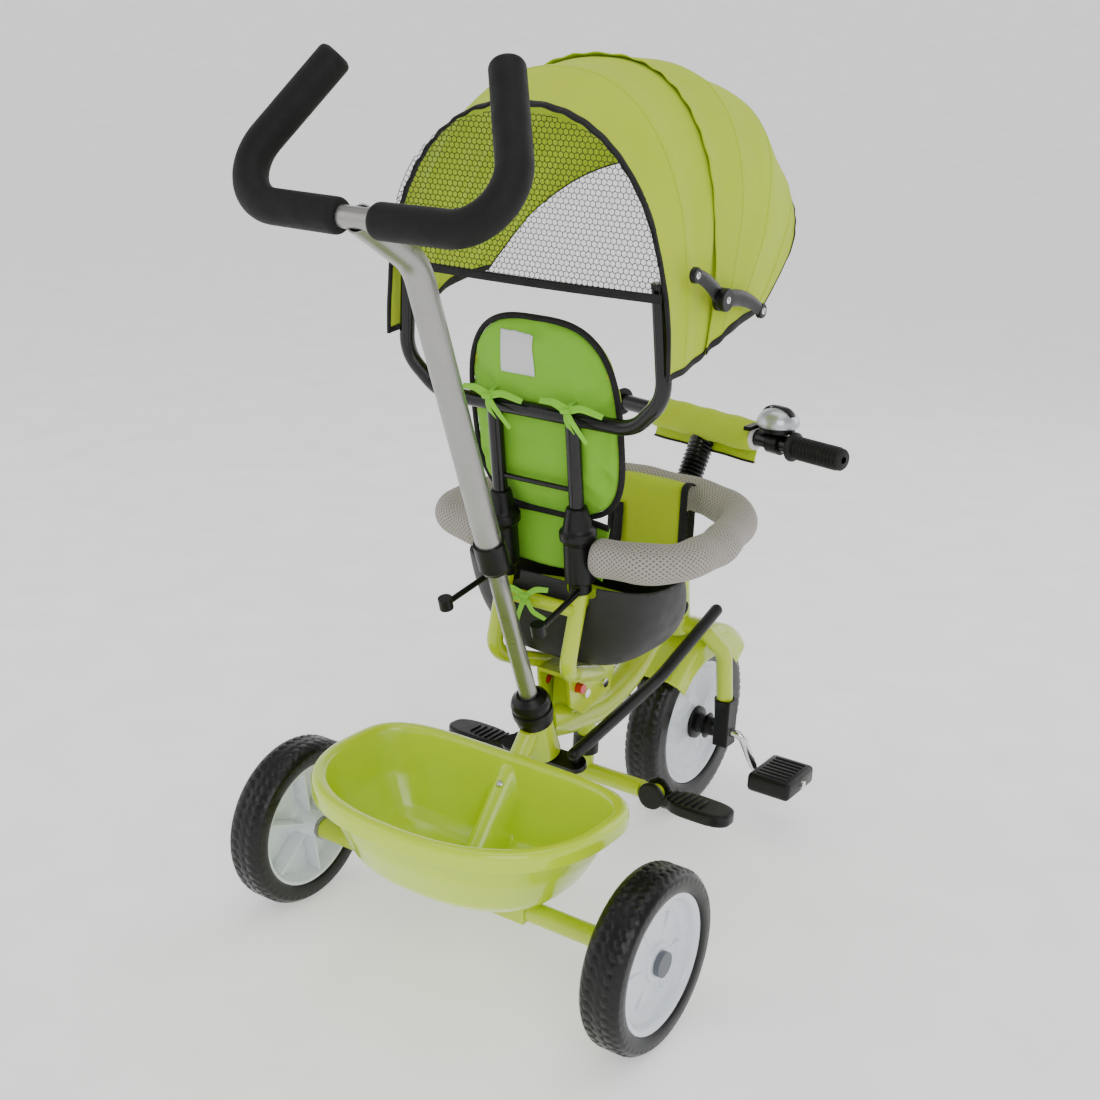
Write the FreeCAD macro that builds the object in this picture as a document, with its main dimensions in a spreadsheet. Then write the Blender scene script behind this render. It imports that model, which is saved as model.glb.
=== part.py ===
"""Children's push tricycle: parametric model, one exported solid file per sub-part.

The part stands on its wheels on the plane Z = 0. Forward is -Y and the rider's left hand is +X.
Sub-parts are drawn with the rear axle at Y = 0, and frame_shift then moves them so that the
origin lies under the middle of the whole object.
"""
import FreeCAD, Part
import math
import os
import re
import Sketcher
from FreeCAD import Placement, Rotation, Vector

SIZES = {
    # whole object
    "frame_shift": 216.7,
    "fit_gap": 0.05,            # radial running clearance of a shaft in its bore
    "soft_gap": 0.5,            # air between soft goods and their neighbours
    # wheels
    "track_half": 243.0,        # rear wheel centre plane from the middle
    "wheelbase": 506.0,
    "tyre_width": 48.0,
    "rear_radius": 101.5,
    "rear_rim_radius": 77.5,
    "front_radius": 126.5,
    "front_rim_radius": 87.5,
    "tread_shoulder": 9.0,
    "axle_radius": 5.0,
    "hub_radius": 17.0,
    "hub_overhang": 10.0,       # hub sticks out past the tyre on its inner side
    "rim_web": 5.0,
    "rim_dish": 9.0,
    "cap_radius": 14.0,
    "cap_depth": 6.0,
    # rear axle beam and main frame
    "beam_radius": 12.0,
    "beam_end_gap": 5.0,
    "bow_width": 34.0,
    "bow_height": 40.0,
    "post_radius": 21.0,
    "stay_radius": 12.0,
    "head_radius": 17.0,
    "head_length": 56.0,
    "steer_lean": 10.0,
    "steer_ahead": 462.0,       # steering axis ahead of the rear axle, at steer_base height
    "steer_base": 294.0,
    # push handle
    "push_lean": 23.2,
    "push_ahead": 139.0,        # push axis ahead of the rear axle, at push_base height
    "push_base": 245.0,
    "column_radius": 10.5,
    "mast_radius": 14.5,
    "mast_wall": 1.6,
    "mast_top": 608.0,          # along the push axis, to the bend
    "mast_bottom": 262.0,
    "mast_reach": 92.3,
    "crossbar_radius": 10.5,
    "foam_radius": 17.0,
    "foam_reach": 176.0,
    "lever_half": 46.0,
    "lever_thick": 7.0,
    "rod_radius": 8.0,
    "rod_pin": 12.5,            # the rod rides this far above the steering lever
    # front fork and handlebar
    "leg_radius": 11.0,
    "leg_half": 58.0,
    "leg_foot": 158.0,
    "stem_radius": 11.0,
    "bellows_radius": 17.0,
    "bar_radius": 10.5,
    "bar_height": 545.0,
    "bar_ahead": 497.0,
    "bar_yaw": 12.8,            # the bar is clamped turned to the right of the wheel
    "bar_half": 222.0,
    "pad_half": 87.0,
    "pad_radius": 20.0,
    "bell_gap": 32.0,
    "grip_radius": 14.5,
    "grip_length": 78.0,
    "fender_radius": 140.0,
    "fender_half": 37.0,
    "crank_radius": 5.5,
    "crank_throw": 54.0,
    "crank_lean": 17.0,
    "pedal_width": 62.0,
    "pedal_length": 80.0,
    "pedal_thick": 26.0,
    # foot rest
    "foot_ahead": 250.0,
    "foot_height": 147.0,
    "foot_half": 88.0,
    "foot_radius": 11.0,
    "peg_length": 84.0,
    "peg_width": 44.0,
    "peg_thick": 15.0,
    "peg_pin_radius": 4.0,
    # seat and back frame
    "seat_tube_half": 51.0,
    "seat_tube_radius": 9.5,
    "socket_radius": 17.0,
    "back_tube_radius": 8.5,
    "back_bar_height": 628.0,
    "arm_half": 166.0,
    "arm_top": 785.0,
    "ring_radius": 22.0,
    "ring_half": 155.0,
    "ring_height": 472.0,
    "ring_ahead": 398.0,
    "shell_wall": 3.0,
    "cushion_thick": 34.0,
    "back_pad_half": 98.0,
    "seat_pad_thick": 26.0,
    # canopy
    "canopy_wall": 3.0,
    "hinge_ahead": 145.0,
    "hinge_height": 767.0,
    "canopy_half": 178.0,
    "hinge_bar": 6.0,
    # basket
    "basket_half": 166.0,
    "basket_back": 123.0,
    "basket_front": 94.0,
    "basket_rim_height": 225.0,
    "basket_base_height": 116.0,
    "basket_wall": 3.0,
    "basket_lip": 12.0,
    "basket_skirt": 20.0,
}

doc = FreeCAD.newDocument("Tricycle")
sheet = doc.addObject("Spreadsheet::Sheet", "Sizes")
for row, (alias, number) in enumerate(SIZES.items(), start=1):
    sheet.set(f"A{row}", alias)
    sheet.set(f"B{row}", str(number))
    sheet.setAlias(f"B{row}", alias)
doc.recompute()

SUB_PARTS = []
X_AXIS, Y_AXIS, Z_AXIS = Vector(1, 0, 0), Vector(0, 1, 0), Vector(0, 0, 1)


def linked(text):
    """The expression with each alias written as a reference to the sheet."""
    return re.sub(r"[a-z][a-z_]+", lambda m: "Sizes." + m.group() if m.group() in SIZES else m.group(),
                  str(text))


def value(text):
    """The number that an expression of the sheet's aliases has now."""
    number = sheet.evalExpression(linked(text))
    return float(getattr(number, "Value", number))


def point(x, y, z):
    return Vector(value(x), value(y), value(z))


def bind(thing, **expressions):
    for name, text in expressions.items():
        thing.setExpression(name, linked(text))
    return thing


def place(thing, at, turn=Rotation()):
    """Puts a shape at three expressions, turned by a fixed rotation."""
    thing.Placement = Placement(point(*at), turn)
    for axis, text in zip("xyz", at):
        thing.setExpression(f"Placement.Base.{axis}", linked(text))
    return thing


def towards(direction, start=Z_AXIS):
    return Rotation(start, Vector(*direction))


def cylinder(name, radius, length, at, direction=(0, 0, 1)):
    """A cylinder from the point at, along direction."""
    return place(bind(doc.addObject("Part::Cylinder", name), Radius=radius, Height=length), at,
                 towards(direction))


def cone(name, radius, end_radius, length, at, direction=(0, 0, 1)):
    return place(bind(doc.addObject("Part::Cone", name), Radius1=radius, Radius2=end_radius,
                      Height=length), at, towards(direction))


def box(name, size, corner, turn=Rotation()):
    return place(bind(doc.addObject("Part::Box", name), Length=size[0], Width=size[1], Height=size[2]),
                 corner, turn)


def fuse(name, *things):
    result = doc.addObject("Part::MultiFuse", name)
    result.Shapes = list(things)
    return result


def cut(name, base, *tools):
    result = doc.addObject("Part::Cut", name)
    result.Base = base
    result.Tool = tools[0] if len(tools) == 1 else fuse(name + "Tools", *tools)
    return result


def mirrored(name, thing):
    """The same piece on the other side of the middle plane."""
    result = doc.addObject("Part::Mirroring", name)
    result.Source = thing
    result.Normal = X_AXIS
    return result


def feature(name, shape):
    """A piece whose shape is worked out here from the sheet's sizes."""
    result = doc.addObject("Part::Feature", name)
    result.Shape = shape
    return result


def sub_part(label, *things):
    """Gathers the solids of one sub-part, moves them into the part's own frame and lists them."""
    result = doc.addObject("Part::Compound", label.title().replace("_", ""))
    result.Links = list(things)
    result.Label = label
    result.setExpression("Placement.Base.y", linked("frame_shift"))
    SUB_PARTS.append(result)
    return result


def turned(name, profile, at, direction=(1, 0, 0)):
    """A turned body: profile is a closed loop of (along, radius) expressions about its axis."""
    body = doc.addObject("PartDesign::Body", name)
    sketch = body.newObject("Sketcher::SketchObject", name + "Profile")
    plane = next(f for f in body.Origin.OriginFeatures if f.Role == "XY_Plane")
    sketch.AttachmentSupport = [(plane, "")]
    sketch.MapMode = "FlatFace"
    corners = [Vector(value(along), value(radius), 0) for along, radius in profile]
    count = len(corners)
    for index in range(count):
        sketch.addGeometry(Part.LineSegment(corners[index], corners[(index + 1) % count]), False)
    for index in range(count):
        sketch.addConstraint(Sketcher.Constraint("Coincident", index, 2, (index + 1) % count, 1))
    for index, (along, radius) in enumerate(profile):
        for kind, text, axis in (("DistanceX", along, -2), ("DistanceY", radius, -1)):
            if str(text) == "0":
                sketch.addConstraint(Sketcher.Constraint("PointOnObject", index, 1, axis))
                continue
            number = sketch.addConstraint(Sketcher.Constraint(kind, -1, 1, index, 1, value(text)))
            title = f"{kind}{index}"
            sketch.renameConstraint(number, title)
            sketch.setExpression("Constraints." + title, linked(text))
    turn = body.newObject("PartDesign::Revolution", name + "Turn")
    turn.Profile = sketch
    turn.ReferenceAxis = (sketch, ["H_Axis"])
    turn.Angle = 360.0
    return place(body, at, towards(direction, X_AXIS))


def rounded_path(points, bend):
    """A wire of straight runs joined by tangent arcs of one radius, smaller where a run is short."""
    edges = []
    start = points[0]
    for index in range(1, len(points) - 1):
        corner = points[index]
        before = (points[index - 1] - corner).normalize()
        after = (points[index + 1] - corner).normalize()
        turn = math.pi - before.getAngle(after)
        reach = min(bend * math.tan(turn / 2), 0.48 * (points[index - 1] - corner).Length,
                    0.48 * (points[index + 1] - corner).Length)
        radius = reach / math.tan(turn / 2)
        centre = corner + (before + after).normalize() * (radius / math.cos(turn / 2))
        first, last = corner + before * reach, corner + after * reach
        middle = centre + (corner - centre).normalize() * radius
        edges.append(Part.LineSegment(start, first).toShape())
        edges.append(Part.Arc(first, middle, last).toShape())
        start = last
    edges.append(Part.LineSegment(start, points[-1]).toShape())
    return Part.Wire(edges)


def swept(path, section):
    """The solid that a closed section makes along a wire."""
    pipe = Part.BRepOffsetAPI.MakePipeShell(path)
    pipe.setFrenetMode(False)
    pipe.add(section)
    pipe.build()
    pipe.makeSolid()
    return pipe.shape()


def bent_tube(points, radius, bend, bore=0.0):
    """A round tube through points, hollow where bore is given."""
    path = rounded_path(points, bend)
    start = path.Edges[0].Vertexes[0].Point
    heading = path.Edges[0].tangentAt(path.Edges[0].FirstParameter)
    outer = swept(path, Part.Wire(Part.Circle(start, heading, radius).toShape()))
    if not bore:
        return outer
    return outer.cut(swept(path, Part.Wire(Part.Circle(start, heading, bore).toShape())))


def closed_curve(points):
    curve = Part.BSplineCurve()
    curve.interpolate(points, True)
    return Part.Wire(curve.toShape())


def lofted(sections):
    return Part.makeLoft(sections, True, False)


def mirror_shape(shape):
    return shape.mirror(Vector(0, 0, 0), X_AXIS)


def rounded_outline(half_x, half_y, centre, across, along, power=4.0, count=24):
    """A closed curve between an ellipse and a rectangle, in the plane of across and along."""
    points = []
    for step in range(count):
        angle = 2 * math.pi * step / count
        cosine, sine = math.cos(angle), math.sin(angle)
        u = half_x * math.copysign(abs(cosine) ** (2 / power), cosine)
        w = half_y * math.copysign(abs(sine) ** (2 / power), sine)
        points.append(centre + across * u + along * w)
    return closed_curve(points)


def lean(degrees):
    """Unit vector that leans back from upright by an angle."""
    angle = math.radians(value(degrees))
    return Vector(0, math.sin(angle), math.cos(angle))


PUSH_UP = lean("push_lean")
STEER_UP = lean("steer_lean")
PUSH_BASE = point(0, "-push_ahead", "push_base")
STEER_FOOT = point(0, "-steer_ahead", "steer_base")


def on_push(distance):
    """Expressions of the point a distance up the push axis."""
    return ("0", f"-push_ahead + sin(push_lean * 1 deg) * ({distance})",
            f"push_base + cos(push_lean * 1 deg) * ({distance})")


def on_steer(distance):
    """Expressions of the point a distance up the steering axis."""
    return ("0", f"-steer_ahead + sin(steer_lean * 1 deg) * ({distance})",
            f"steer_base + cos(steer_lean * 1 deg) * ({distance})")


# ---------------------------------------------------------------- wheels

def wheel_tyre(prefix, radius, rim_radius, at, side):
    """Foam tyre of one wheel; side is +1 where its outer face looks to +X."""
    half = "tyre_width / 2"
    return turned(prefix + "Tyre", [
        (f"-{half} + 2", rim_radius), (f"{half} - 2", rim_radius),
        (f"{half}", f"{rim_radius} + 6"), (f"{half}", f"{radius} - tread_shoulder"),
        (f"{half} - tread_shoulder / 2", f"{radius} - 1.5"), ("0", f"{radius}"),
        (f"-{half} + tread_shoulder / 2", f"{radius} - 1.5"),
        (f"-{half}", f"{radius} - tread_shoulder"), (f"-{half}", f"{rim_radius} + 6")],
        at, (side, 0, 0))


def rear_rim(prefix, rim_radius, at, side, bore):
    """Dished rim with a long hub on its inner side."""
    half = "tyre_width / 2"
    return turned(prefix + "Rim", [
        (f"-{half} - hub_overhang", bore), (f"{half} - 8", bore), (f"{half} - 8", "hub_radius"),
        (f"{half} - 8 - rim_dish", f"{rim_radius} - 12"), (f"{half} - 4", f"{rim_radius} - 5"),
        (f"{half} - 4", f"{rim_radius} - 0.3"), (f"-{half} + 4", f"{rim_radius} - 0.3"),
        (f"-{half} + 4", f"{rim_radius} - 5"),
        (f"{half} - 8 - rim_dish - rim_web", f"{rim_radius} - 12"),
        (f"{half} - 13 - rim_web", "hub_radius + 2"), (f"-{half} - hub_overhang", "hub_radius - 3")],
        at, (side, 0, 0))


for name, side in (("left", 1), ("right", -1)):
    centre = (f"{side} * track_half", "0", "rear_radius")
    sub_part(f"rear_tyre_{name}", wheel_tyre(name.title() + "Rear", "rear_radius", "rear_rim_radius", centre, side))
    sub_part(f"rear_rim_{name}", rear_rim(name.title() + "Rear", "rear_rim_radius", centre, side,
                                          "axle_radius + fit_gap"))
    cap = cylinder(name.title() + "Cap", "cap_radius", "cap_depth",
                   (f"{side} * (track_half + tyre_width / 2 - 8)", "0", "rear_radius"), (side, 0, 0))
    sub_part(f"hub_cap_{name}", cap)

sub_part("front_tyre", wheel_tyre("Front", "front_radius", "front_rim_radius",
                                  ("0", "-wheelbase", "front_radius"), 1))
disc = turned("FrontRimShape", [
    ("-17", "axle_radius + 1"), ("17", "axle_radius + 1"), ("17", "hub_radius + 6"),
    ("10", "front_rim_radius - 16"), ("20", "front_rim_radius - 5"), ("20", "front_rim_radius - 0.3"),
    ("-20", "front_rim_radius - 0.3"), ("-20", "front_rim_radius - 5"),
    ("-10", "front_rim_radius - 16"), ("-17", "hub_radius + 6")],
    ("0", "-wheelbase", "front_radius"))
sub_part("front_rim", disc)
flanges = [turned(f"HubFlange{side_name}", [
    ("17", "axle_radius + 1"), ("46", "axle_radius + 1"), ("46", "12"), ("38", "13"), ("36", "18"),
    ("33", "13"), ("24", "14"), ("22", "hub_radius + 5"), ("17", "hub_radius + 6")],
    ("0", "-wheelbase", "front_radius"), (side, 0, 0)) for side_name, side in (("Left", 1), ("Right", -1))]
sub_part("front_hub", *flanges)

# ---------------------------------------------------------------- rear axle beam

beam = cylinder("Beam", "beam_radius", "2 * (track_half - tyre_width / 2 - hub_overhang - beam_end_gap)",
                ("-(track_half - tyre_width / 2 - hub_overhang - beam_end_gap)", "0", "rear_radius"), (1, 0, 0))
beam_box = box("BeamFlat", ("190", "28", "22"), ("-95", "-14", "rear_radius - 11"))
axle_hole = cylinder("BeamHole", "axle_radius", "2 * track_half",
                     ("-track_half", "0", "rear_radius"), (1, 0, 0))
sub_part("axle_beam", cut("AxleBeam", fuse("BeamSolid", beam, beam_box), axle_hole))
rod_half = "(track_half + tyre_width / 2 - 9)"
rod = cylinder("AxleRodBar", "axle_radius", f"2 * {rod_half}", (f"-{rod_half}", "0", "rear_radius"), (1, 0, 0))
washers = [cylinder(f"Washer{side}", "beam_radius + 2", "beam_end_gap - 0.4",
                    (f"{side} * (track_half - tyre_width / 2 - hub_overhang - beam_end_gap)", "0",
                     "rear_radius"), (side, 0, 0)) for side in (1, -1)]
holes = [cylinder(f"WasherHole{side}", "axle_radius", "beam_end_gap + 2",
                  (f"{side} * (track_half - tyre_width / 2 - hub_overhang - beam_end_gap - 1)", "0",
                   "rear_radius"), (side, 0, 0)) for side in (1, -1)]
sub_part("axle_rod", rod, *[cut(f"WasherRing{i}", w, h) for i, (w, h) in enumerate(zip(washers, holes))])

# ---------------------------------------------------------------- main frame

bow_path = rounded_path([point(0, "-push_ahead - 16", 244), point(0, -205, 233), point(0, -270, 223),
                         point(0, -345, 243), point(0, "-steer_ahead + 6", "steer_base + 30")], 120)
bow_section = Part.Wire(Part.Ellipse(Vector(0, 0, 0), value("bow_height / 2"), value("bow_width / 2")).toShape())
heading = bow_path.Edges[0].tangentAt(bow_path.Edges[0].FirstParameter)
bow_section.Placement = Placement(bow_path.Edges[0].Vertexes[0].Point,
                                  Rotation(heading.cross(X_AXIS), X_AXIS, heading, "XZY"))
bow = feature("BowSweep", swept(bow_path, bow_section))
head_space = cylinder("HeadSpace", "head_radius", "head_length + 40", on_steer("-20"), STEER_UP)
post_space = cylinder("PostSpace", "post_radius", "120", on_push("-60"), PUSH_UP)
sub_part("bow_tube", cut("BowTube", bow, head_space, post_space))
head = cylinder("HeadOuter", "head_radius", "head_length", on_steer("0"), STEER_UP)
head_bore = cylinder("HeadBore", "stem_radius + fit_gap", "head_length + 2", on_steer("-1"), STEER_UP)
sub_part("head_tube", cut("HeadTube", head, head_bore))

post = cone("PostOuter", "post_radius", "post_radius - 1", "50", on_push("-40"), PUSH_UP)
post_bore = cylinder("PostBore", "column_radius + fit_gap", "52", on_push("-41"), PUSH_UP)
sub_part("rear_post", cut("RearPost", post, post_bore))
stay_top, stay_foot = point(0, "-push_ahead + 15", 242), point(0, -8, "rear_radius")
stay_along = (stay_foot - stay_top).normalize()
stay = cylinder("StayTube", "stay_radius", (stay_foot - stay_top).Length,
                ("0", "-push_ahead + 15", "242"), stay_along)
stay_trim = cylinder("StayTrim", "post_radius", "80", on_push("-60"), PUSH_UP)
collar_trim = cylinder("StayCollarTrim", "25", "50", on_push("10"), PUSH_UP)
beam_trim = box("StayBeamTrim", ("60", "64", "22"), ("-30", "-14", "rear_radius - 11"))
beam_round_trim = cylinder("StayBeamRoundTrim", "beam_radius", "60", ("-30", "0", "rear_radius"), (1, 0, 0))
sub_part("rear_stay", cut("RearStay", stay, stay_trim, collar_trim, beam_trim, beam_round_trim))

collar = turned("CollarShape", [
    ("10.3", "column_radius + fit_gap"), ("52", "column_radius + fit_gap"), ("52", "14"), ("46", "21"), ("40", "23.5"),
    ("36", "23.5"), ("35", "22"), ("31", "22"), ("30", "24"), ("22", "24"), ("21", "22.5"), ("10.3", "21.5")],
    on_push("0"), PUSH_UP)
sub_part("base_collar", collar)

# ---------------------------------------------------------------- steering column and push handle

column = cylinder("Column", "column_radius", "mast_bottom + 160", on_push("-42"), PUSH_UP)
sub_part("push_lower_tube", column)
PLATE_TURN = Rotation(X_AXIS, Vector(0, 0, 0), PUSH_UP, "XZY")
plate = box("LeverBar", ("2 * lever_half", "24", "lever_thick"),
            ("-lever_half", f"-push_ahead - {PUSH_UP.y * 49:.3f} - 12 * cos(push_lean * 1 deg)",
             f"push_base - {PUSH_UP.z * 49:.3f} + 12 * sin(push_lean * 1 deg)"), PLATE_TURN)
plate_ends = [cylinder(f"LeverEnd{side}", "12", "lever_thick", (
    f"{side} * lever_half", f"-push_ahead - {PUSH_UP.y * 49:.3f}", f"push_base - {PUSH_UP.z * 49:.3f}"), PUSH_UP)
    for side in (1, -1)]
sub_part("steering_lever", fuse("SteeringLever", plate, *plate_ends))

clamp = turned("ClampShape", [
    ("mast_bottom - 26", "column_radius + fit_gap"), ("mast_bottom", "column_radius + fit_gap"),
    ("mast_bottom", "mast_radius + 0.1"), ("mast_bottom + 12", "mast_radius + 0.1"),
    ("mast_bottom + 12", "mast_radius + 3"), ("mast_bottom - 20", "mast_radius + 3"),
    ("mast_bottom - 26", "mast_radius")], on_push("0"), PUSH_UP)
sub_part("clamp_collar", clamp)
bend_point = PUSH_BASE + PUSH_UP * value("mast_top")
mast_end = bend_point + Vector(0, 0.872, 0.490) * value("mast_reach")
mast = bent_tube([PUSH_BASE + PUSH_UP * value("mast_bottom + 0.1"), bend_point, mast_end],
                 value("mast_radius"), 60, value("mast_radius - mast_wall"))
foam_start = 19.0
grip_points = [mast_end + X_AXIS * foam_start, mast_end + Vector(value("foam_reach"), 2, 2),
               mast_end + Vector(98, -80, 134)]
foam = bent_tube(grip_points, value("foam_radius"), 60, value("crossbar_radius"))
tip_along = (grip_points[2] - grip_points[1]).normalize()
foam = foam.fuse(Part.makeCylinder(value("foam_radius"), 3, grip_points[2], tip_along)).removeSplitter()
sub_part("foam_grips", feature("FoamGrips", Part.makeCompound([foam, mirror_shape(foam)])))
bar_core = bent_tube(grip_points, value("crossbar_radius"), 60)
middle_bar = Part.makeCylinder(value("crossbar_radius"), 2 * foam_start, mast_end - X_AXIS * foam_start, X_AXIS)
sub_part("push_upper_tube", feature("PushUpperTube", mast.fuse(
    [middle_bar, bar_core, mirror_shape(bar_core)]).removeSplitter()))

# ---------------------------------------------------------------- steering rod

rod_back = PUSH_BASE - PUSH_UP * 49 + Vector(-value("lever_half"), 0, 0) + PUSH_UP * (value("lever_thick") + 0.4)
rod_front = point("-leg_half + 8", -476, 306)
rod_middle = Vector(-50, -337, 256)
rod_start = rod_back + PUSH_UP * value("rod_pin")
rod_tube = bent_tube([rod_start, rod_middle, rod_front], value("rod_radius"), 200)
rod_pin = Part.makeCylinder(5, value("rod_pin"), rod_back, PUSH_UP)
sub_part("steering_rod", feature("SteeringRod", rod_tube.fuse(
    [rod_pin, Part.makeSphere(value("rod_radius"), rod_start), Part.makeSphere(value("rod_radius"), rod_front)]
).removeSplitter()))

# ---------------------------------------------------------------- fork

crown = STEER_FOOT - STEER_UP * 14
leg_points = [point("-leg_half", "-wheelbase - 3", "leg_foot"), point("-leg_half", "-wheelbase + 13", 243),
              crown + Vector(-36, -3, 0), crown + Vector(-8, 0, 0)]
leg = bent_tube(leg_points, value("leg_radius"), 38)
crown_block = Part.makeCylinder(17, 24, crown - STEER_UP * 11, STEER_UP)
sub_part("fork_frame", feature("ForkFrame", crown_block.fuse([leg, mirror_shape(leg)]).removeSplitter()))
stem_top = point(0, "-bar_ahead", "bar_height")
stem_points = [STEER_FOOT - STEER_UP * 1, STEER_FOOT + STEER_UP * (value("head_length") + 36),
               Vector(0, -462, 470), stem_top - Vector(0, 0, value("bar_radius"))]
stem = bent_tube(stem_points, value("stem_radius"), 40)
stem_space = Part.makeCylinder(value("bar_radius"), 80, stem_top - X_AXIS * 40, X_AXIS)
stem_space.rotate(stem_top, Z_AXIS, -value("bar_yaw"))
sub_part("steering_stem", feature("SteeringStem", stem.cut(stem_space)))
bellows_points = [STEER_FOOT + STEER_UP * (value("head_length") + 14), stem_points[1], stem_points[2],
                  stem_top - Vector(0, 0, value("bar_radius + 12"))]
bellows = bent_tube(bellows_points, value("bellows_radius"), 40).cut(stem)
sub_part("stem_bellows", feature("StemBellows", bellows))

bar_turn = Rotation(Z_AXIS, -value("bar_yaw"))
bar_along = bar_turn.multVec(X_AXIS)


def along_bar(distance):
    return (f"cos(bar_yaw * 1 deg) * ({distance})", f"-bar_ahead - sin(bar_yaw * 1 deg) * ({distance})",
            "bar_height")


sub_part("handlebar", cylinder("BarTube", "bar_radius", "2 * bar_half - 10", along_bar("-bar_half + 5"), bar_along))
pad = cut("PadTube", cylinder("PadOuter", "pad_radius", "2 * pad_half", along_bar("-pad_half"), bar_along),
          cylinder("PadBore", "bar_radius", "2 * pad_half + 2", along_bar("-pad_half - 1"), bar_along),
          feature("PadStemSpace", bent_tube([stem_points[2], stem_top], value("bellows_radius + soft_gap"), 10)))
sub_part("handlebar_pad", pad)
grips = [turned(f"Grip{side_name}", [
    ("bar_half - grip_length", "bar_radius"), ("bar_half - 5", "bar_radius"), ("bar_half - 5", "0"),
    ("bar_half", "0"), ("bar_half - 2", "10"), ("bar_half - 5", "grip_radius"),
    ("bar_half - grip_length + 8", "grip_radius"), ("bar_half - grip_length + 6", "18"),
    ("bar_half - grip_length", "18")], along_bar("0"), bar_along * side)
    for side_name, side in (("Left", 1), ("Right", -1))]
sub_part("handlebar_grips", *grips)

bell_centre = "-(pad_half + bell_gap)"
bell_x, bell_y, _ = along_bar(bell_centre)
band = cut("BellBand", cylinder("BellBandOuter", "bar_radius + 4", "18", along_bar(f"{bell_centre} - 9"), bar_along),
           cylinder("BellBandBore", "bar_radius", "20", along_bar(f"{bell_centre} - 10"), bar_along))
base = cylinder("BellBase", "22", "7", (bell_x, bell_y, "bar_height + bar_radius + 4"))
sub_part("bell_base", fuse("BellBaseSolid", base, band))
dome = turned("BellDomeShape", [("7.2", "0"), ("7.2", "26"), ("12", "27"), ("22", "22"), ("28", "12"), ("30", "0")],
              (bell_x, bell_y, "bar_height + bar_radius + 4"), (0, 0, 1))
sub_part("bell_dome", dome)
sub_part("bell_lever", box("BellLeverBar", ("9", "26", "5"), (f"{bell_x} + 22.5", f"{bell_y} + 4", "bar_height + bar_radius + 5")))

# fender: a U section turned part of the way round the wheel
axle_point = point(0, "-wheelbase", "front_radius")
outer_r, skirt_r = value("fender_radius"), value("front_rim_radius + 12")
half = value("fender_half")


def fender_shell(radius, low, half_width, spread):
    profile = [Vector(-half_width, 0, low), Vector(-half_width, 0, radius - 12), Vector(-half_width + 10, 0, radius),
               Vector(half_width - 10, 0, radius), Vector(half_width, 0, radius - 12), Vector(half_width, 0, low)]
    face = Part.Face(Part.makePolygon(profile + profile[:1]))
    face.rotate(Vector(0, 0, 0), X_AXIS, -spread[0])
    return face.revolve(Vector(0, 0, 0), X_AXIS, spread[0] + spread[1])


fender = fender_shell(outer_r, skirt_r, half, (48, 48)).cut(
    fender_shell(outer_r - 3, skirt_r - 5, half - 3, (60, 60)))
fender.translate(axle_point)
sub_part("front_fender", feature("FrontFender", fender))

leg_up = (leg_points[1] - leg_points[0]).normalize()


def leg_along(distance):
    """Expressions of the point a distance up the left leg's lowest run from its foot."""
    return ("leg_half", f"-wheelbase - 3 + {leg_up.y:.5f} * ({distance})", f"leg_foot + {leg_up.z:.5f} * ({distance})")


brackets = []
for side_name, side in (("Left", 1), ("Right", -1)):
    block = box(f"BracketBlock{side_name}", ("22", "26", "66"), ("50", "-wheelbase - 14", "front_radius - 20"))
    cup = cylinder(f"BracketCup{side_name}", "leg_radius + 3", "34", leg_along("-18"), leg_up)
    leg_hole = cylinder(f"BracketLeg{side_name}", "leg_radius", "40", leg_along("0"), leg_up)
    bore = cylinder(f"BracketBore{side_name}", "axle_radius + 0.5 + fit_gap", "60",
                    ("30", "-wheelbase", "front_radius"), (1, 0, 0))
    inner_space = box(f"BracketInner{side_name}", ("20", "60", "30"), ("27.4", "-wheelbase - 30", "front_radius - 20"))
    whole = cut(f"Bracket{side_name}", fuse(f"BracketSolid{side_name}", block, cup), leg_hole, bore, inner_space)
    brackets.append(whole if side == 1 else mirrored("BracketMirrored", whole))
sub_part("axle_brackets", *brackets)

crank_lean = math.radians(value("crank_lean"))
throw = Vector(0, -math.sin(crank_lean), -math.cos(crank_lean)) * value("crank_throw")
crank_points = [axle_point, axle_point + Vector(-88, 0, 0), axle_point + Vector(-104, 0, 0) + throw,
                axle_point + Vector(-178, 0, 0) + throw]
left_points = [Vector(-p.x, 2 * axle_point.y - p.y, 2 * axle_point.z - p.z) for p in crank_points]
right_crank = bent_tube(crank_points, value("crank_radius"), 12)
left_crank = bent_tube(left_points, value("crank_radius"), 12)
sub_part("crank_axle", feature("CrankAxle", right_crank.fuse(left_crank).removeSplitter()))
for name, side, centre in (("right", -1, axle_point + throw), ("left", 1, axle_point - throw)):
    start = 112.0
    width, length, thick = value("pedal_width"), value("pedal_length"), value("pedal_thick")
    corner = 14.0
    outline = [Vector(start, -length / 2, 0), Vector(start + width - corner, -length / 2, 0),
               Vector(start + width, -length / 2 + corner, 0), Vector(start + width, length / 2 - corner, 0),
               Vector(start + width - corner, length / 2, 0), Vector(start, length / 2, 0)]
    solid = Part.Face(Part.makePolygon(outline + outline[:1])).extrude(Vector(0, 0, thick))
    solid = solid.makeFillet(3, [e for e in solid.Edges if abs(e.tangentAt(e.FirstParameter).z) < 0.1])
    solid = solid.cut(Part.makeCylinder(value("crank_radius + fit_gap"), width + 20,
                                        Vector(start - 5, 0, thick / 2), X_AXIS))
    solid.translate(Vector(0, 0, -thick / 2))
    if side < 0:
        solid = mirror_shape(solid)
    solid.translate(Vector(0, centre.y, centre.z))
    sub_part(f"pedal_{name}", feature("Pedal" + name.title(), solid))

# ---------------------------------------------------------------- foot rest

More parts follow.
